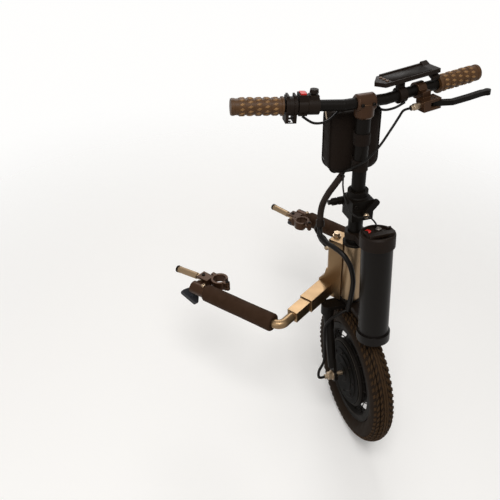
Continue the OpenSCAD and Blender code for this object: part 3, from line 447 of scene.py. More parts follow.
def hard_finish(name, tones, metallic, rough, patch=35, grit=0.9, depth=0.012, width=0.7, share=0.6,
                **sockets):
    """A coated or moulded surface: patches, a fine grain and pale edges, in millimetres.

    The tones are the colour, the colour of its patches and that of its edges, which is rubbed wear and on
    some finishes also a painted highlight.
    """
    colour, other, edge = (linear(tone) if isinstance(tone, str) else tone for tone in tones)
    tree, shader, where = new_finish(name, colour, metallic, rough[0], **sockets)
    tone = patches(tree, shader, where, colour, other, patch, *rough)
    rounded = worn_and_highlit_edges(tree, shader, tone, edge, width, share)
    grain(tree, shader, where, grit, depth, rounded)


def metal_finishes(colours):
    """Anodised, plated, ground, cast and coated metals."""
    metal, coat = tuple(colours.metal), tuple(colours.coat)
    # Bead blasted and clear anodised tube: soft broad highlights in a warm grey, and a pale edge tone that
    # is a painted highlight
    hard_finish("Anodised aluminium", (metal, scaled(metal, 0.84), "#C0A887"), 1.0, (0.30, 0.42),
                patch=60, grit=0.8, depth=0.006, width=0.9, share=0.5)
    # Turned head tube and lock levers with a clear satin lacquer: paler and softer than the blasted tubes
    hard_finish("Satin aluminium", ("#A48C6F", "#8E785E", "#D2C0A6"), 1.0, (0.36, 0.46),
                patch=70, grit=1.5, depth=0.003, width=0.8, share=0.4)
    # Steel bolts and nuts with clear zinc: pale, warm and slightly cloudy
    hard_finish("Zinc plated steel", ("#BBA78E", "#9C876E", "#E2D3BC"), 1.0, (0.28, 0.45),
                patch=8, grit=0.7, depth=0.006, width=0.4, share=0.6)
    # Ground stainless disc, arm and lock: a plain mid grey with a fine grain
    hard_finish("Ground stainless steel", ("#77706A", "#665F59", "#B9B2A8"), 1.0, (0.28, 0.42),
                patch=12, grit=0.5, depth=0.008, width=0.3, share=0.5)
    # Blackened spokes and screws: dark oxide with worn edges
    hard_finish("Blackened steel", ("#1F1A16", "#15110E", "#4A4038"), 0.5, (0.4, 0.55),
                patch=8, grit=0.7, depth=0.008, width=0.3, share=0.6, Specular_IOR_Level=0.12)
    # Black anodised rim, motor shell and cups: dark, with a faint metallic sheen, and edges rubbed paler and
    # brightened further as a painted highlight
    hard_finish("Black anodised aluminium", ("#1A1612", "#120F0C", "#5A5046"), 0.1, (0.5, 0.64),
                patch=40, grit=0.8, depth=0.006, width=1.0, share=0.7, Specular_IOR_Level=0.08)
    # Cast motor covers and caliper, painted black: coarse cast skin under a satin paint, with pale grey
    # edges that are a painted highlight along the ring steps
    hard_finish("Painted cast alloy", ("#0C0A08", "#070605", "#6E665C"), 0.0, (0.5, 0.62),
                patch=30, grit=1.4, depth=0.03, width=1.3, share=0.8, Specular_IOR_Level=0.035)
    # Cast clamps, stem and lever body with a brown paint: soft sheen, pale rubbed edges
    hard_finish("Brown painted alloy", ("#4A3221", "#372417", "#8E6B4C"), 0.45, (0.26, 0.36),
                patch=30, grit=1.2, depth=0.012, width=1.0, share=0.6, Specular_IOR_Level=0.2)
    # Laminated iron with varnished windings: copper brown, uneven, with a dull shine
    hard_finish("Varnished windings", ("#7A4A24", "#52402F", "#A87643"), 0.7, (0.35, 0.5),
                patch=6, grit=0.8, depth=0.05)
    # Powder coat on steel: even and dark with a faint orange peel
    hard_finish("Powder coated steel", (coat, scaled(coat, 0.72), "#35291F"), 0.0, (0.38, 0.5),
                patch=50, grit=1.6, depth=0.035, width=0.8, share=0.5, Specular_IOR_Level=0.1)


def plastic_finishes(colours):
    """Moulded and extruded plastics."""
    button = tuple(colours.button)
    # Moulded ABS with a fine spark texture: dark, with pale worn rims
    hard_finish("Moulded ABS", ("#1F150E", "#150E09", "#4B3929"), 0.0, (0.42, 0.58),
                patch=30, grit=0.9, depth=0.03, width=0.7, share=0.5, Specular_IOR_Level=0.12)
    # Glass filled nylon of the wing knobs: a neutral dark grey
    hard_finish("Grey nylon", ("#2F2F33", "#252528", "#58585E"), 0.0, (0.45, 0.6),
                patch=20, grit=0.9, depth=0.03, width=0.7, share=0.5, Specular_IOR_Level=0.25)
    # Smooth extruded battery tube: charcoal with a clear satin gloss
    hard_finish("Satin battery shell", ("#15110E", "#0F0C0A", "#2E251D"), 0.0, (0.26, 0.36),
                patch=90, grit=1.2, depth=0.004, width=1.0, share=0.4, Specular_IOR_Level=0.13)
    # Moulded ABS of the buttons: a clear red with a sharp highlight
    hard_finish("Red ABS", (button, scaled(button, 0.8), "#F06A52"), 0.0, (0.25, 0.35),
                patch=8, grit=1.0, depth=0.006, width=0.6, share=0.4)
    # Shrink wrap round the cells: a smooth green film
    hard_finish("Shrink wrapped cells", ("#2E6F4E", "#265C41", "#5C9A7B"), 0.0, (0.3, 0.4), patch=20)
    # Hard coated screen window: nearly black and even
    hard_finish("Screen window", ("#1A120C", "#120C08", "#3A2C20"), 0.0, (0.3, 0.4),
                patch=60, grit=2.0, depth=0.001, width=0.4, share=0.3, Specular_IOR_Level=0.04)
    # Soft extruded jacket of the leads: smooth, with a dull gloss
    hard_finish("Extruded jacket", ("#14100D", "#0E0B09", "#2A221C"), 0.0, (0.35, 0.5),
                patch=25, grit=2.0, depth=0.01, width=0.3, share=0.2, Specular_IOR_Level=0.15)


def rubber_finishes(colours):
    """Tyre, grips and foam."""
    # Vulcanised tyre: a matt and dark casing, and a tread that is paler, mottled with pale brown patches
    for name, tones in (("Tyre rubber", ("#1D150E", "#281D13", "#33271D")),
                        ("Tread rubber", ("#261B10", "#483420", "#654C33"))):
        hard_finish(name, tones, 0.0, (0.68, 0.85), patch=14, grit=1.1, depth=0.05, width=0.8, share=0.5,
                    Specular_IOR_Level=0.1)
    # Moulded grip rubber: soft and brown in the grooves, and paler on the pads as a painted highlight
    for name, tones in (("Grip rubber", ("#3A2512", "#5E4023", "#7C5934")),
                        ("Grip pads with painted highlight", ("#5C4122", "#A1784A", "#C49B68"))):
        hard_finish(name, tones, 0.0, (0.4, 0.55), patch=10, grit=0.9, depth=0.03, width=0.6, share=0.6,
                    Specular_IOR_Level=0.25)
    # Closed-cell foam: matt, with cells of about 0.6 mm, drawn at 1.6 mm so that they show
    foam = tuple(colours.foam)
    tree, shader, where = new_finish("Closed-cell foam", foam, 0.0, 0.85, Specular_IOR_Level=0.12)
    patches(tree, shader, where, foam, scaled(foam, 0.75), 18, 0.7, 0.88)
    cells = add(tree, "ShaderNodeTexVoronoi", {"Vector": where, "Scale": per(1.6)}).outputs["Distance"]
    relief(tree, shader, cells, 0.16, 0.7)


def fabric_finishes(colours):
    """Woven nylon and the braided sleeve."""
    # Woven nylon: a soft sheen, with threads of 0.5 mm, drawn at 3 mm so that they show
    fabric = tuple(colours.fabric)
    tree, shader, where = new_finish("Woven nylon", fabric, 0.0, 0.75, Specular_IOR_Level=0.08,
                                     Sheen_Weight=0.02)
    patches(tree, shader, where, fabric, scaled(fabric, 1.5), 22, 0.62, 0.8)
    lie = add(tree, "ShaderNodeMapping", {"Vector": where, "Rotation": (0.3, -0.12, 0.58)}).outputs[0]
    warp, weft = (add(tree, "ShaderNodeTexWave", {"Vector": lie, "Scale": bands(2.96), "Distortion": 0.6},
                      wave_type="BANDS", bands_direction=way).outputs[1] for way in "ZY")
    weave = add(tree, "ShaderNodeMath", {0: warp, 1: weft}, operation="MULTIPLY").outputs[0]
    relief(tree, shader, weave, 0.25, 0.8)
    # Braided polyester sleeve: dull strands of 1 mm that cross, drawn 5 mm apart so that they show
    dark, light = linear("#2A1D15"), linear("#1A120D")
    tree, shader, where = new_finish("Braided polyester", dark, 0.0, 0.7, Specular_IOR_Level=0.2)
    patches(tree, shader, where, dark, light, 9, 0.6, 0.75)
    lie = add(tree, "ShaderNodeMapping", {"Vector": where, "Rotation": (0, 1.57, 0)}).outputs[0]
    spacing = bands(5.01, 10 * math.sqrt(3))
    left, right = (add(tree, "ShaderNodeTexWave", {"Vector": way, "Scale": spacing, "Distortion": 0.4},
                       wave_type="BANDS", bands_direction="DIAGONAL").outputs[1] for way in (where, lie))
    braid = add(tree, "ShaderNodeMath", {0: left, 1: right}, operation="MAXIMUM").outputs[0]
    relief(tree, shader, braid, 0.4, 0.9)


FINISHES = {
    "Anodised aluminium": ["main_post", "cross_beam", "right_arm", "left_arm", "crown_plate"],
    "Satin aluminium": ["head_tube", "right_lock_lever", "left_lock_lever"],
    "Zinc plated steel": ["frame_bolts", "axle"],
    "Ground stainless steel": ["brake_disc", "caliper_arm"],
    "Blackened steel": ["spokes"],
    "Black anodised aluminium": ["rim", "motor_shell", "bearing_cups"],
    "Painted cast alloy": ["motor_covers", "brake_caliper"],
    "Brown painted alloy": ["stem", "right_clamp", "left_clamp", "right_jaw", "left_jaw",
                            "brake_lever_body"],
    "Varnished windings": ["motor_stator"],
    "Powder coated steel": ["fork", "column_base", "fold_pin", "column_tube", "column_hinge", "handlebar",
                            "latch_lever", "brake_lever"],
    "Moulded ABS": ["controller_plug", "battery_cradle", "battery_cap", "battery_handle", "throttle_body",
                    "throttle_lever", "switch_housing", "knob_button", "display_bracket", "display"],
    "Grey nylon": ["right_wing_knob", "left_wing_knob"],
    "Satin battery shell": ["battery_case"],
    "Red ABS": ["battery_button", "red_button"],
    "Shrink wrapped cells": ["battery_cells"],
    "Tyre rubber": ["tyre"],
    "Grip rubber": ["right_grip", "left_grip"],
    "Closed-cell foam": ["right_foam", "left_foam"],
    "Woven nylon": ["bag"],
    "Braided polyester": ["control_conduit"],
    "Extruded jacket": ["motor_cable", "fork_conduit", "bar_leads", "brake_cable"],
}


class ASSIST_OT_finishes(bpy.types.Operator):
    """Make the materials and give each solid its own"""

    bl_idname = "assist.finishes"
    bl_label = "Finishes"

    def execute(self, context):
        colours = context.scene.assist_colours
        metal_finishes(colours)
        plastic_finishes(colours)
        rubber_finishes(colours)
        fabric_finishes(colours)
        given = [node for nodes in FINISHES.values() for node in nodes]
        if sorted(given) != sorted(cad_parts):
            raise RuntimeError(f"finishes don't match the solids: {set(given) ^ set(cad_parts)}")
        for finish, nodes in FINISHES.items():
            for node in nodes:
                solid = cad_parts[node]
                solid.data.materials.clear()
                solid.data.materials.append(bpy.data.materials[finish])
        return {"FINISHED"}


def lead(name, place, way, diameter, finish, slot, bodies, stiffness="medium", free=True, pieces=()):
    """One flexible lead along its way, made as a tube.

    With one body it rides on that body; between two bodies its transform is baked into its mesh.
    """
    form = Form()
    form.tube(place, way, diameter / 2)
    piece = form.piece(name, bodies[0] if len(bodies) == 1 else None, finish, slot)
    if len(bodies) == 2:
        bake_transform(piece)
    return piece


class ASSIST_OT_leads(bpy.types.Operator):
    """Make the sleeve, the conduit and the leads as smooth tubes, and the collar of the plug"""

    bl_idname = "assist.leads"
    bl_label = "Leads"

    def execute(self, context):
        braid = (SLEEVE_WIDE, "Braided polyester", "braided_sleeve")
        jacket = ("Extruded jacket", "cable_jacket")
        way = smooth_route(SLEEVE_ROUTE)
        upper = lead("braided_sleeve_top", HEAD, way[:SLEEVE_CUT + 1], *braid, ["column", "steerer"],
                     free=False)
        lower = lead("braided_sleeve", HEAD, way[SLEEVE_CUT:], *braid, ["steerer", "frame"], pieces=[upper])
        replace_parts(lower, "control_conduit")
        way = smooth_route(FORK_ROUTE)
        conduit = lead("fork_conduit_tube", HEAD, way, CONDUIT_WIDE, *jacket, ["frame", "steerer"])
        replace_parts(conduit, "fork_conduit")
        way = smooth_route(MOTOR_ROUTE)
        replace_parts(lead("motor_lead", FORK, way, MOTOR_WIDE, *jacket, ["steerer"]), "motor_cable")
        way = smooth_route(BRAKE_ROUTE)
        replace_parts(lead("brake_hose", FORK, way, CABLE_WIDE, *jacket, ["column"]), "brake_cable")
        way = smooth_route(LEAD_ROUTE)
        thin = (THIN_WIDE, *jacket)
        lead("battery_lead_upper", FORK, way[:LEAD_CUT + 1], *thin, ["column", "steerer"], "limp")
        lead("battery_lead_lower", FORK, way[LEAD_CUT:], *thin, ["steerer", "battery"], "limp")
        way = smooth_route(RIGHT_LEADS)
        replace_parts(lead("switch_leads", FORK, way, CABLE_WIDE, *jacket, ["column"]), "bar_leads")
        lead("screen_leads", FORK, smooth_route(LEFT_LEADS), CABLE_WIDE, *jacket, ["column"])
        collar = Form()
        collar.lathe(HEAD @ move(*PLUG_SEAT) @ turn("Y", PLUG_TILT) @ move(0, 0, 9),
                     [(9.1, 0), (10.7, 0.6), (11, 1.6), (11, 7), (10.6, 7.8), (9.1, 8.2)], 40, closed=True)
        collar.piece("plug_collar", "frame", "Zinc plated steel", "zinc_steel")
        return {"FINISHED"}


class ASSIST_OT_wheel(bpy.types.Operator):
    """Make the tread, the spoke nipples, the valve and the cover screws"""

    bl_idname = "assist.wheel"
    bl_label = "Wheel details"

    def execute(self, context):
        height = context.scene.assist_sizes.tread_height / MM
        count = context.scene.assist_sizes.tread_count
        tread = Form()

        def block(start, low, high, slant, half):
            """Slanted block across a strip of the tyre, lower at both ends and narrower at the top."""
            steps, lip, draft = 6, 0.55, 0.7
            rings = []
            for k in range(steps + 1):
                t = k / steps
                top = height * (lip if k in (0, steps) else 1.0)
                section = []
                for side, rise, width in ((-1, TREAD_ROOT, half), (-1, top, half - draft),
                                          (1, top, half - draft), (1, TREAD_ROOT, half)):
                    r, z = tyre_skin(low + (high - low) * t, rise)
                    section.append(polar(r, math.radians(start + slant * t) + side * width / r, z))
                rings.append(section)
            tread.rings(WHEEL, rings)

        def rib(low, high):
            """Rib round the tyre whose edges sway once for each block."""
            rings = []
            steps = 6 * count
            for k in range(steps):
                angle = math.tau * k / steps
                shift = TREAD_SWAY * math.sin(count * angle)
                section = []
                for tilt, rise in ((low, TREAD_ROOT), (low + 1, height), (high - 1, height),
                                   (high, TREAD_ROOT)):
                    r, z = tyre_skin(tilt + shift, rise)
                    section.append(polar(r, angle, z))
                rings.append(section)
            tread.rings(WHEEL, rings, round_trip=True)

        for low, high in TREAD_RIBS:
            rib(low, high)
        pitch = 360 / count
        for i in range(count):
            for side in (1, -1):
                start = (i + (0.5 if side < 0 else 0)) * pitch
                for ahead, low, high, slant, half in TREAD_BLOCKS:
                    block(start + ahead, side * low, side * high, slant, half)
        tread.piece("tyre_tread", "wheel", "Tread rubber", "tyre_rubber", 30)

        nipples = Form()
        for i in range(SPOKE_COUNT):
            side = 1 if i % 2 == 0 else -1
            hub = Vector((FLANGE_RADIUS, SPOKE_CROSS if i % 4 < 2 else -SPOKE_CROSS, side * FLANGE_Z))
            seat = Vector((RIM_IN - 0.4, 0, side * SPOKE_SEAT_Z))
            spin = (hub - seat).normalized().to_track_quat("Z", "Y").to_matrix().to_4x4()
            nipples.lathe(WHEEL @ turn("Z", 360 * i / SPOKE_COUNT) @ move(*seat) @ spin,
                          [(2.6, -0.5), (2.6, 1.5), (2.1, 2.2), (2.1, 8), (1.5, 9)], 8)
        nipples.piece("spoke_nipples", "wheel", "Blackened steel", "disc_steel")

        valve = Form()
        foot = [(4.5, 0), (4.5, 2.4), (3, 3), (3, 13)]
        cap = [(3.6, 13.2), (3.6, 20), (2.8, 21.5), (0.1, 22)]
        valve.lathe(WHEEL @ turn("Z", 5) @ move(RIM_IN + 1, 0, 0) @ turn("Y", -90), foot + cap, 16)
        valve.piece("tyre_valve", "wheel", "Moulded ABS", "black_plastic")

        screws = Form()
        for face in (WHEEL, WHEEL @ turn("X", 180)):
            for k in range(COVER_SCREWS):
                spin = turn("Z", 360 * k / COVER_SCREWS + 12)
                screws.screw(face @ spin @ move(COVER_SCREW_CIRCLE, 0, COVER_FACE), 3.4, 2.2)
        screws.piece("cover_screws", "wheel", "Blackened steel", "disc_steel")
        return {"FINISHED"}


def foam_profile(edge):
    """Radius and height of a foam sleeve's skin: rounded ends, and a side that wanders a little."""
    middle, first, last = FOAM_RADIUS - edge, FOAM_START + edge, FOAM_END - edge
    arc = [(edge * math.sin(math.radians(a)), edge * math.cos(math.radians(a))) for a in range(0, 91, 18)]
    profile = [(FOAM_BORE, FOAM_START + FOAM_DISH)]
    profile += [(middle + out, first - along) for out, along in arc]
    steps = 24
    for k in range(1, steps):
        t = k / steps
        swell = 0.16 * math.sin(9 * t + 1.3) + 0.1 * math.sin(23 * t)
        profile.append((FOAM_RADIUS - 0.25 + swell, first + (last - first) * t))
    profile += [(middle + out, last + along) for out, along in reversed(arc)]
    return profile + [(FOAM_BORE, FOAM_END - FOAM_DISH)]


class ASSIST_OT_arms(bpy.types.Operator):
    """Make the foam sleeves, the lever caps, the clamp screws and the socket bolts"""

    bl_idname = "assist.arms"
    bl_label = "Arms and clamps"

    def execute(self, context):
        profile = foam_profile(context.scene.assist_sizes.foam_round / MM)
        for side, name in SIDES:
            foam = Form()
            foam.lathe(arm_place(side), profile, 56, closed=True)
            sleeve = foam.piece(name + "_foam_sleeve", name + "_side", "Closed-cell foam", "arm_foam")
            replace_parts(sleeve, name + "_foam")

            cap = Form()
            handle = clamp_place(side) @ move(*LEVER_PIN) @ turn("Z", LEVER_SWING)
            cap.lathe(handle @ move(HANDLE_END - 2, 0, 0) @ turn("Y", 90),
                      [(8.6, -1.5), (9.2, -1.1), (9.3, 0), (9.3, 2), (8.7, 3.4), (7, 4), (0.1, 4.2)], 32)
            cap.piece(name + "_lever_cap", name + "_lever_body", "Moulded ABS", "black_plastic")

            screws = Form()
            face = move(0, 0, RING_HEIGHT / 2)
            for pin in (move(*JAW_PIN), move(*LEVER_PIN), move(*JAW_PIN) @ turn("X", 180)):
                screws.screw(clamp_place(side) @ pin @ face, *CLAMP_SCREW)
            screws.piece(name + "_clamp_screws", name + "_side", "Blackened steel", "disc_steel")
            bolt = Form()
            bolt.screw(arm_place(side) @ move(SOCKET_RADIUS, 0, FOAM_END + 8) @ turn("Y", 90), 5, 5)
            bolt.piece(name + "_socket_bolt", name + "_side", "Zinc plated steel", "zinc_steel")
        return {"FINISHED"}


def rounding(t):
    """How far a quarter circle falls away, from 0 to 1."""
    return 1 - math.sqrt(max(0, 1 - t * t))


class ASSIST_OT_pouch(bpy.types.Operator):
    """Make the fabric pouch with its piping, zip and straps"""

    bl_idname = "assist.pouch"
    bl_label = "Pouch"

    def execute(self, context):
        pipe = context.scene.assist_sizes.piping / MM / 2
        place = FORK @ move(*BAG_FOOT)
        # Half the width, half the depth, the height and the rounding of the foot
        wide, deep, tall, corner = 57, 30, 138, 26

        def drawn_in(z, foot, top, lid):
            """How far the sides draw in at a height: by foot at the bottom, by top over the lid's height."""
            low = max(0, corner - z) / corner
            high = max(0, z - (tall - lid)) / lid
            return foot * rounding(low) + top * rounding(high)

        def half_width(z):
            return wide - drawn_in(z, 27, 9, 12)

        def half_depth(z):
            return (1 - 0.10 * z / tall) * (deep - drawn_in(z, 14, 9, 14))

        def section(z, scale=1.0):
            """Squarish ring at a height, with a soft sag that is stronger at the back."""
            ring = []
            steps = 72
            for k in range(steps):
                a = math.tau * k / steps
                c, s = math.cos(a), math.sin(a)
                y = math.copysign(abs(c) ** 0.42, c) * half_width(z) * scale
                x = math.copysign(abs(s) ** 0.55, s) * half_depth(z) * scale
                sag = 0.7 * math.sin(y / 11 + z / 17) * math.sin(z / 23) + 0.5 * math.sin(z / 7 + y / 29)
                ring.append((x - deep + sag * (1 if s < 0 else 0.3), y, z))
            return ring

        body = Form()
        levels = [0.0, 0.6, 2, 5, 9, 14, 20, 26, 34, 44, 55, 66, 77, 88, 99, 108, 116, 123, 129, 133, 136,
                  137.6, tall]
        rings = [section(0.4, 0.35), section(0.1, 0.7)] + [section(z) for z in levels]
        rings += [section(tall, 0.7), section(tall, 0.35)]
        body.rings(place, rings)
        pouch = body.piece("pouch", "column", "Woven nylon", "bag_fabric", 60)
        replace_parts(pouch, "bag")

        trim = Form()
        for front in (0.62, -0.62):
            way = []
            steps = 96
            for k in range(steps + 1):
                z = 1 + (tall - 2) * k / steps
                way.append((-deep + front * half_depth(z), half_width(z) * 0.985 + 0.2, z))
            for side in (1, -1):
                trim.tube(place, [(x, side * y, z) for x, y, z in way], pipe, 8)
            foot, lid = (-deep + front * half_depth(z) for z in (1, tall - 1))
            trim.tube(place, [(foot, y, 0.6) for y in range(-30, 31, 6)], pipe, 8)
            trim.tube(place, [(lid, y, tall - 0.5) for y in range(-48, 49, 6)], pipe, 8)
        trim.piece("pouch_piping", "column", "Woven nylon", "bag_fabric")

        zip_tape = Form()
        for k in range(46):
            tooth = place @ move(-deep + (1.1 if k % 2 else -1.1), -45 + 2 * k, tall + 0.4)
            zip_tape.plate(tooth, (3.2, 1.3, 1.6), 0.3)
        zip_tape.piece("zip_teeth", "column", "Moulded ABS", "black_plastic")
        pull = Form()
        pull.plate(place @ move(-deep, -47, tall + 1.5), (7, 9, 3), 0.8)
        pull.plate(place @ move(-deep - 1, -58, tall - 9) @ turn("X", 12), (6, 1.8, 24), 0.6)
        pull.piece("zip_pull", "column", "Zinc plated steel", "zinc_steel")

        strap = Form()
        strap_width, half_thick, rim = 24, 0.9, COLUMN_RADIUS + 1.3
        way = [polar(rim, math.radians(a), 0)[:2] for a in range(-150, 151, 10)]
        way = [(-21.5, -10)] + way + [(-21.5, 10)]
        rings = []
        for i, (x, y) in enumerate(way):
            ax, ay = way[max(i - 1, 0)]
            bx, by = way[min(i + 1, len(way) - 1)]
            along = Vector((bx - ax, by - ay)).normalized()
            out = (x + along.y * half_thick, y - along.x * half_thick)
            into = (x - along.y * half_thick, y + along.x * half_thick)
            rings.append([(*out, 0), (*out, strap_width), (*into, strap_width), (*into, 0)])
        for low in (tall - 60, tall - 118):
            strap.rings(FORK @ move(0, 0, BAG_FOOT[2] + low), rings)
        strap.piece("pouch_straps", "column", "Woven nylon", "bag_fabric", 50)
        return {"FINISHED"}


class ASSIST_OT_handlebar(bpy.types.Operator):
    """Make the grip pads, the screen window and keys, the cable adjuster and the bar screws"""

    bl_idname = "assist.handlebar"
    bl_label = "Handlebar details"

    def execute(self, context):
        rise = context.scene.assist_sizes.grip_pad / MM
        rows, pads_round, pad_pitch = 5, 11, 16
        # Corners of a pad along the grip and round it, and its layers by share of that size and height
        corners = ((0, 3.3), (5.8, 0.9), (0, -3.3), (-5.8, -0.9))
        layers = ((1.0, -0.3), (0.82, rise * 0.8), (0.6, rise))
        for side, name in SIDES:
            pads = Form()
            for row in range(rows):
                middle = GRIP_START + pad_pitch * (row + 1)
                for k in range(pads_round):
                    a = math.tau * (k + 0.5 * (row % 2)) / pads_round
                    pad = []
                    for share, height in layers:
                        pad.append([polar(GRIP_RADIUS + height, a + across * share / GRIP_RADIUS,
                                          middle + along * share) for along, across in corners])
                    pads.rings(bar_place(side), pad)
            # The pads' paler colour is a painted highlight
            pads.piece(name + "_grip_pads", "column", "Grip pads with painted highlight", "grip_rubber", 60)

        window = Form()
        screen = bar_place(1) @ move(-1, -24, BRAKE_START / 2)
        window.plate(screen @ move(-4, -13.8, 18) @ turn("X", 90), (34, 92, 1.0), 0.4)
        window.piece("screen_window", "display_body", "Screen window", "black_plastic")
        keys = Form()
        for k in range(3):
            keys.lathe(screen @ move(-16 + 11 * k, -13.4, -35) @ turn("X", 90),
                       [(3.6, 0), (3.6, 1.2), (3.0, 1.9), (0.1, 2.1)], 20)
        keys.piece("screen_keys", "display_body", "Grip rubber", "grip_rubber")

        adjuster = Form()
        steps = 40
        knurl = [[polar(r - notch * (k % 2), math.tau * k / steps, z) for k in range(steps)]
                 for z, r, notch in ((-31, 4.9, 0), (-30.3, 5.5, 0), (-25, 5.5, 0), (-24.4, 7, 0.5),
                                     (-18.4, 7, 0.5), (-17.8, 6.4, 0), (-10.3, 6.4, 0))]
        adjuster.rings(bar_place(1) @ move(31, 19, BRAKE_START), knurl)
        adjuster.piece("cable_adjuster", "column", "Zinc plated steel", "zinc_steel", 25)

        screws = Form()
        for y in (-12, 12):
            screws.screw(FORK @ move(17.5, y, BAR_Z) @ turn("Y", 90), 3.6, 3.0)
        down = turn("X", -90)
        screws.screw(bar_place(1) @ move(17, 22, BRAKE_START + 9) @ down, 3.2, 2.4)
        screws.screw(bar_place(-1) @ move(0, 30, LEVER_START + 11) @ down, *HOUSING_SCREW)
        screws.screw(bar_place(-1) @ move(0, 16, SWITCH_START + 32.5) @ down, *HOUSING_SCREW)
        screws.piece("bar_screws", "column", "Blackened steel", "disc_steel")
        return {"FINISHED"}


class ASSIST_OT_battery(bpy.types.Operator):
    """Make the lock and the charge port cover on the battery cap"""

    bl_idname = "assist.battery"
    bl_label = "Battery details"

    def execute(self, context):
        lid = BATTERY @ move(0, 0, BATTERY_LENGTH - 4.9)
        lock = Form()
        lock.lathe(lid @ move(-19, 11, 0),
                   [(7, -0.3), (7, 2.4), (6.2, 3.2), (5, 3.2), (4.6, 2.2), (0.1, 2.2)], 28)
        lock.plate(lid @ move(-19, 11, 2.3), (1.2, 6, 0.8), 0.2)
        lock.piece("battery_lock", "battery", "Ground stainless steel", "disc_steel")
        port = Form()
        port.plate(lid @ move(9, 0, 1.2), (16, 30, 3), 1.2)
        port.plate(lid @ move(16, 0, 2.6), (3, 10, 1.4), 0.5)
        port.piece("charge_port_cover", "battery", "Grip rubber", "grip_rubber")
        return {"FINISHED"}


class ASSIST_OT_column(bpy.types.Operator):
    """Make the ball end of the latch and the screws of the fold joint"""

    bl_idname = "assist.column"
    bl_label = "Column details"

    def execute(self, context):
        ball = Form()
        radius = 6.3
        profile = [polar(radius, math.radians(a), 0)[:2] for a in range(-30, 86, 8)]
        profile += [(1.6, 6.1), (1.5, 4.6), (0.1, 4.4)]
        ball.lathe(FORK @ move(*LATCH_END) @ turn("Y", 90), profile, 28)
        ball.piece("latch_ball", "latch_body", "Zinc plated steel", "zinc_steel")
        screws = Form()
        for x, y, axis, angle in ((30, -17, "Y", 90), (5, -25, "X", 90), (5, 25, "X", -90)):
            screws.screw(FORK @ move(x, y, FOLD_Z + 11) @ turn(axis, angle), *FOLD_SCREW)
        screws.piece("fold_screws", "column", "Blackened steel", "disc_steel")
        return {"FINISHED"}


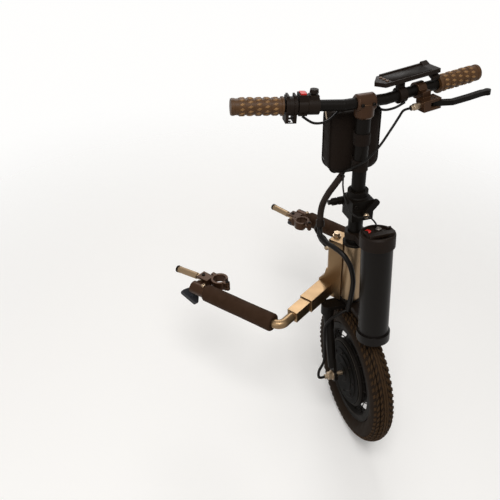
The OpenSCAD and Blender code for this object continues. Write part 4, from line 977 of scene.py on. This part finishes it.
class ASSIST_OT_stage(bpy.types.Operator):
    """Make the floor, the lights and the camera"""

    bl_idname = "assist.stage"
    bl_label = "Stage"

    def execute(self, context):
        scene = context.scene
        low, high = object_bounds()
        middle = (Vector(low) + Vector(high)) / 2
        ground = low[2]

        # Half the floor's side and where it fades out, in metres, and its glow to the camera
        reach, fade_start, fade_end, glow = 8, 0.7, 2.0, 0.12
        floor_mesh = bpy.data.meshes.new("floor")
        floor_mesh.from_pydata([(-reach, -reach, ground), (reach, -reach, ground), (reach, reach, ground),
                                (-reach, reach, ground)], [], [(0, 1, 2, 3)])
        # Seamless paper: matt, nearly white, with a faint tooth of 2 mm
        tree, shader, where = new_finish("Backdrop paper", linear("#F7F5F2"), 0.0, 0.95,
                                         Specular_IOR_Level=0.1, Emission_Color=(1, 0.99, 0.98, 1))
        grain(tree, shader, where, 2, 0.05)
        off = add(tree, "ShaderNodeVectorMath", {0: where, 1: (middle.x, middle.y, ground)},
                  operation="DISTANCE").outputs["Value"]
        fade = add(tree, "ShaderNodeMapRange", {0: off, 1: fade_start, 2: fade_end, 3: 1.0, 4: 0.0},
                   interpolation_type="SMOOTHSTEP").outputs[0]
        tree.links.new(fade, shader.inputs["Alpha"])
        seen = add(tree, "ShaderNodeLightPath", {}).outputs["Is Camera Ray"]
        lift = add(tree, "ShaderNodeMath", {0: seen, 1: glow}, operation="MULTIPLY").outputs[0]
        tree.links.new(lift, shader.inputs["Emission Strength"])
        floor_mesh.materials.append(bpy.data.materials["Backdrop paper"])
        floor = bpy.data.objects.new("floor", floor_mesh)
        scene.collection.objects.link(floor)
        floor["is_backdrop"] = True

        # The world is white to the camera, half as much in reflections, and dim as a light
        world_light, world_seen, world_gloss = 0.3, 1.0, 0.5
        world = bpy.data.worlds.new("studio")
        scene.world = world
        world.use_nodes = True
        tree = world.node_tree
        tree.nodes.clear()
        path = add(tree, "ShaderNodeLightPath", {}).outputs
        seen = add(tree, "ShaderNodeMath", {0: path["Is Camera Ray"], 1: path["Is Transmission Ray"]},
                   operation="MAXIMUM").outputs[0]
        seen = add(tree, "ShaderNodeMath", {0: path["Is Glossy Ray"], 1: world_gloss, 2: seen},
                   operation="MULTIPLY_ADD", use_clamp=True).outputs[0]
        strength = add(tree, "ShaderNodeMix", {0: seen, 2: world_light, 3: world_seen}).outputs[0]
        paper = add(tree, "ShaderNodeBackground", {"Color": (1, 0.995, 0.985, 1), "Strength": strength})
        add(tree, "ShaderNodeOutputWorld", {"Surface": paper.outputs[0]})

        for name, at, size, power in LAMPS:
            lamp = bpy.data.lights.new(name, "AREA")
            lamp.size = size
            lamp.energy = power
            light = bpy.data.objects.new(name, lamp)
            light.location = at
            light.rotation_euler = (middle - Vector(at)).to_track_quat("-Z", "Y").to_euler()
            scene.collection.objects.link(light)

        camera = bpy.data.objects.new("camera", bpy.data.cameras.new("camera"))
        camera.data.sensor_width = 36
        camera.data.lens = CAMERA_LENS
        turned = Matrix((CAMERA_RIGHT, CAMERA_UP, -Vector(CAMERA_LOOK))).transposed()
        camera.matrix_world = move(*CAMERA_AT) @ turned.to_4x4()
        scene.collection.objects.link(camera)
        scene.camera = camera
        scene.view_settings.view_transform = "Standard"
        return {"FINISHED"}


OPERATORS = (ASSIST_OT_finishes, ASSIST_OT_leads, ASSIST_OT_wheel, ASSIST_OT_arms, ASSIST_OT_pouch,
             ASSIST_OT_handlebar, ASSIST_OT_battery, ASSIST_OT_column, ASSIST_OT_stage)


class ASSIST_PT_panel(bpy.types.Panel):
    """Lists the sizes, the colours and the steps that dress the unit"""

    bl_idname = "ASSIST_PT_panel"
    bl_label = "Power assist"
    bl_space_type = "VIEW_3D"
    bl_region_type = "UI"
    bl_category = "Power assist"

    def draw(self, context):
        for group in (context.scene.assist_sizes, context.scene.assist_colours):
            for name in group.__annotations__:
                self.layout.prop(group, name)
        for operator in OPERATORS:
            self.layout.operator(operator.bl_idname)


CLASSES = (AssistSizes, AssistColours, *OPERATORS, ASSIST_PT_panel)


def register():
    for entry in CLASSES:
        bpy.utils.register_class(entry)
    bpy.types.Scene.assist_sizes = bpy.props.PointerProperty(type=AssistSizes)
    bpy.types.Scene.assist_colours = bpy.props.PointerProperty(type=AssistColours)


def unregister():
    del bpy.types.Scene.assist_colours
    del bpy.types.Scene.assist_sizes
    for entry in reversed(CLASSES):
        bpy.utils.unregister_class(entry)


def main():
    register()
    for operator in OPERATORS:
        group, name = operator.bl_idname.split(".")
        getattr(getattr(bpy.ops, group), name)()


if __name__ == "__main__":
    main()
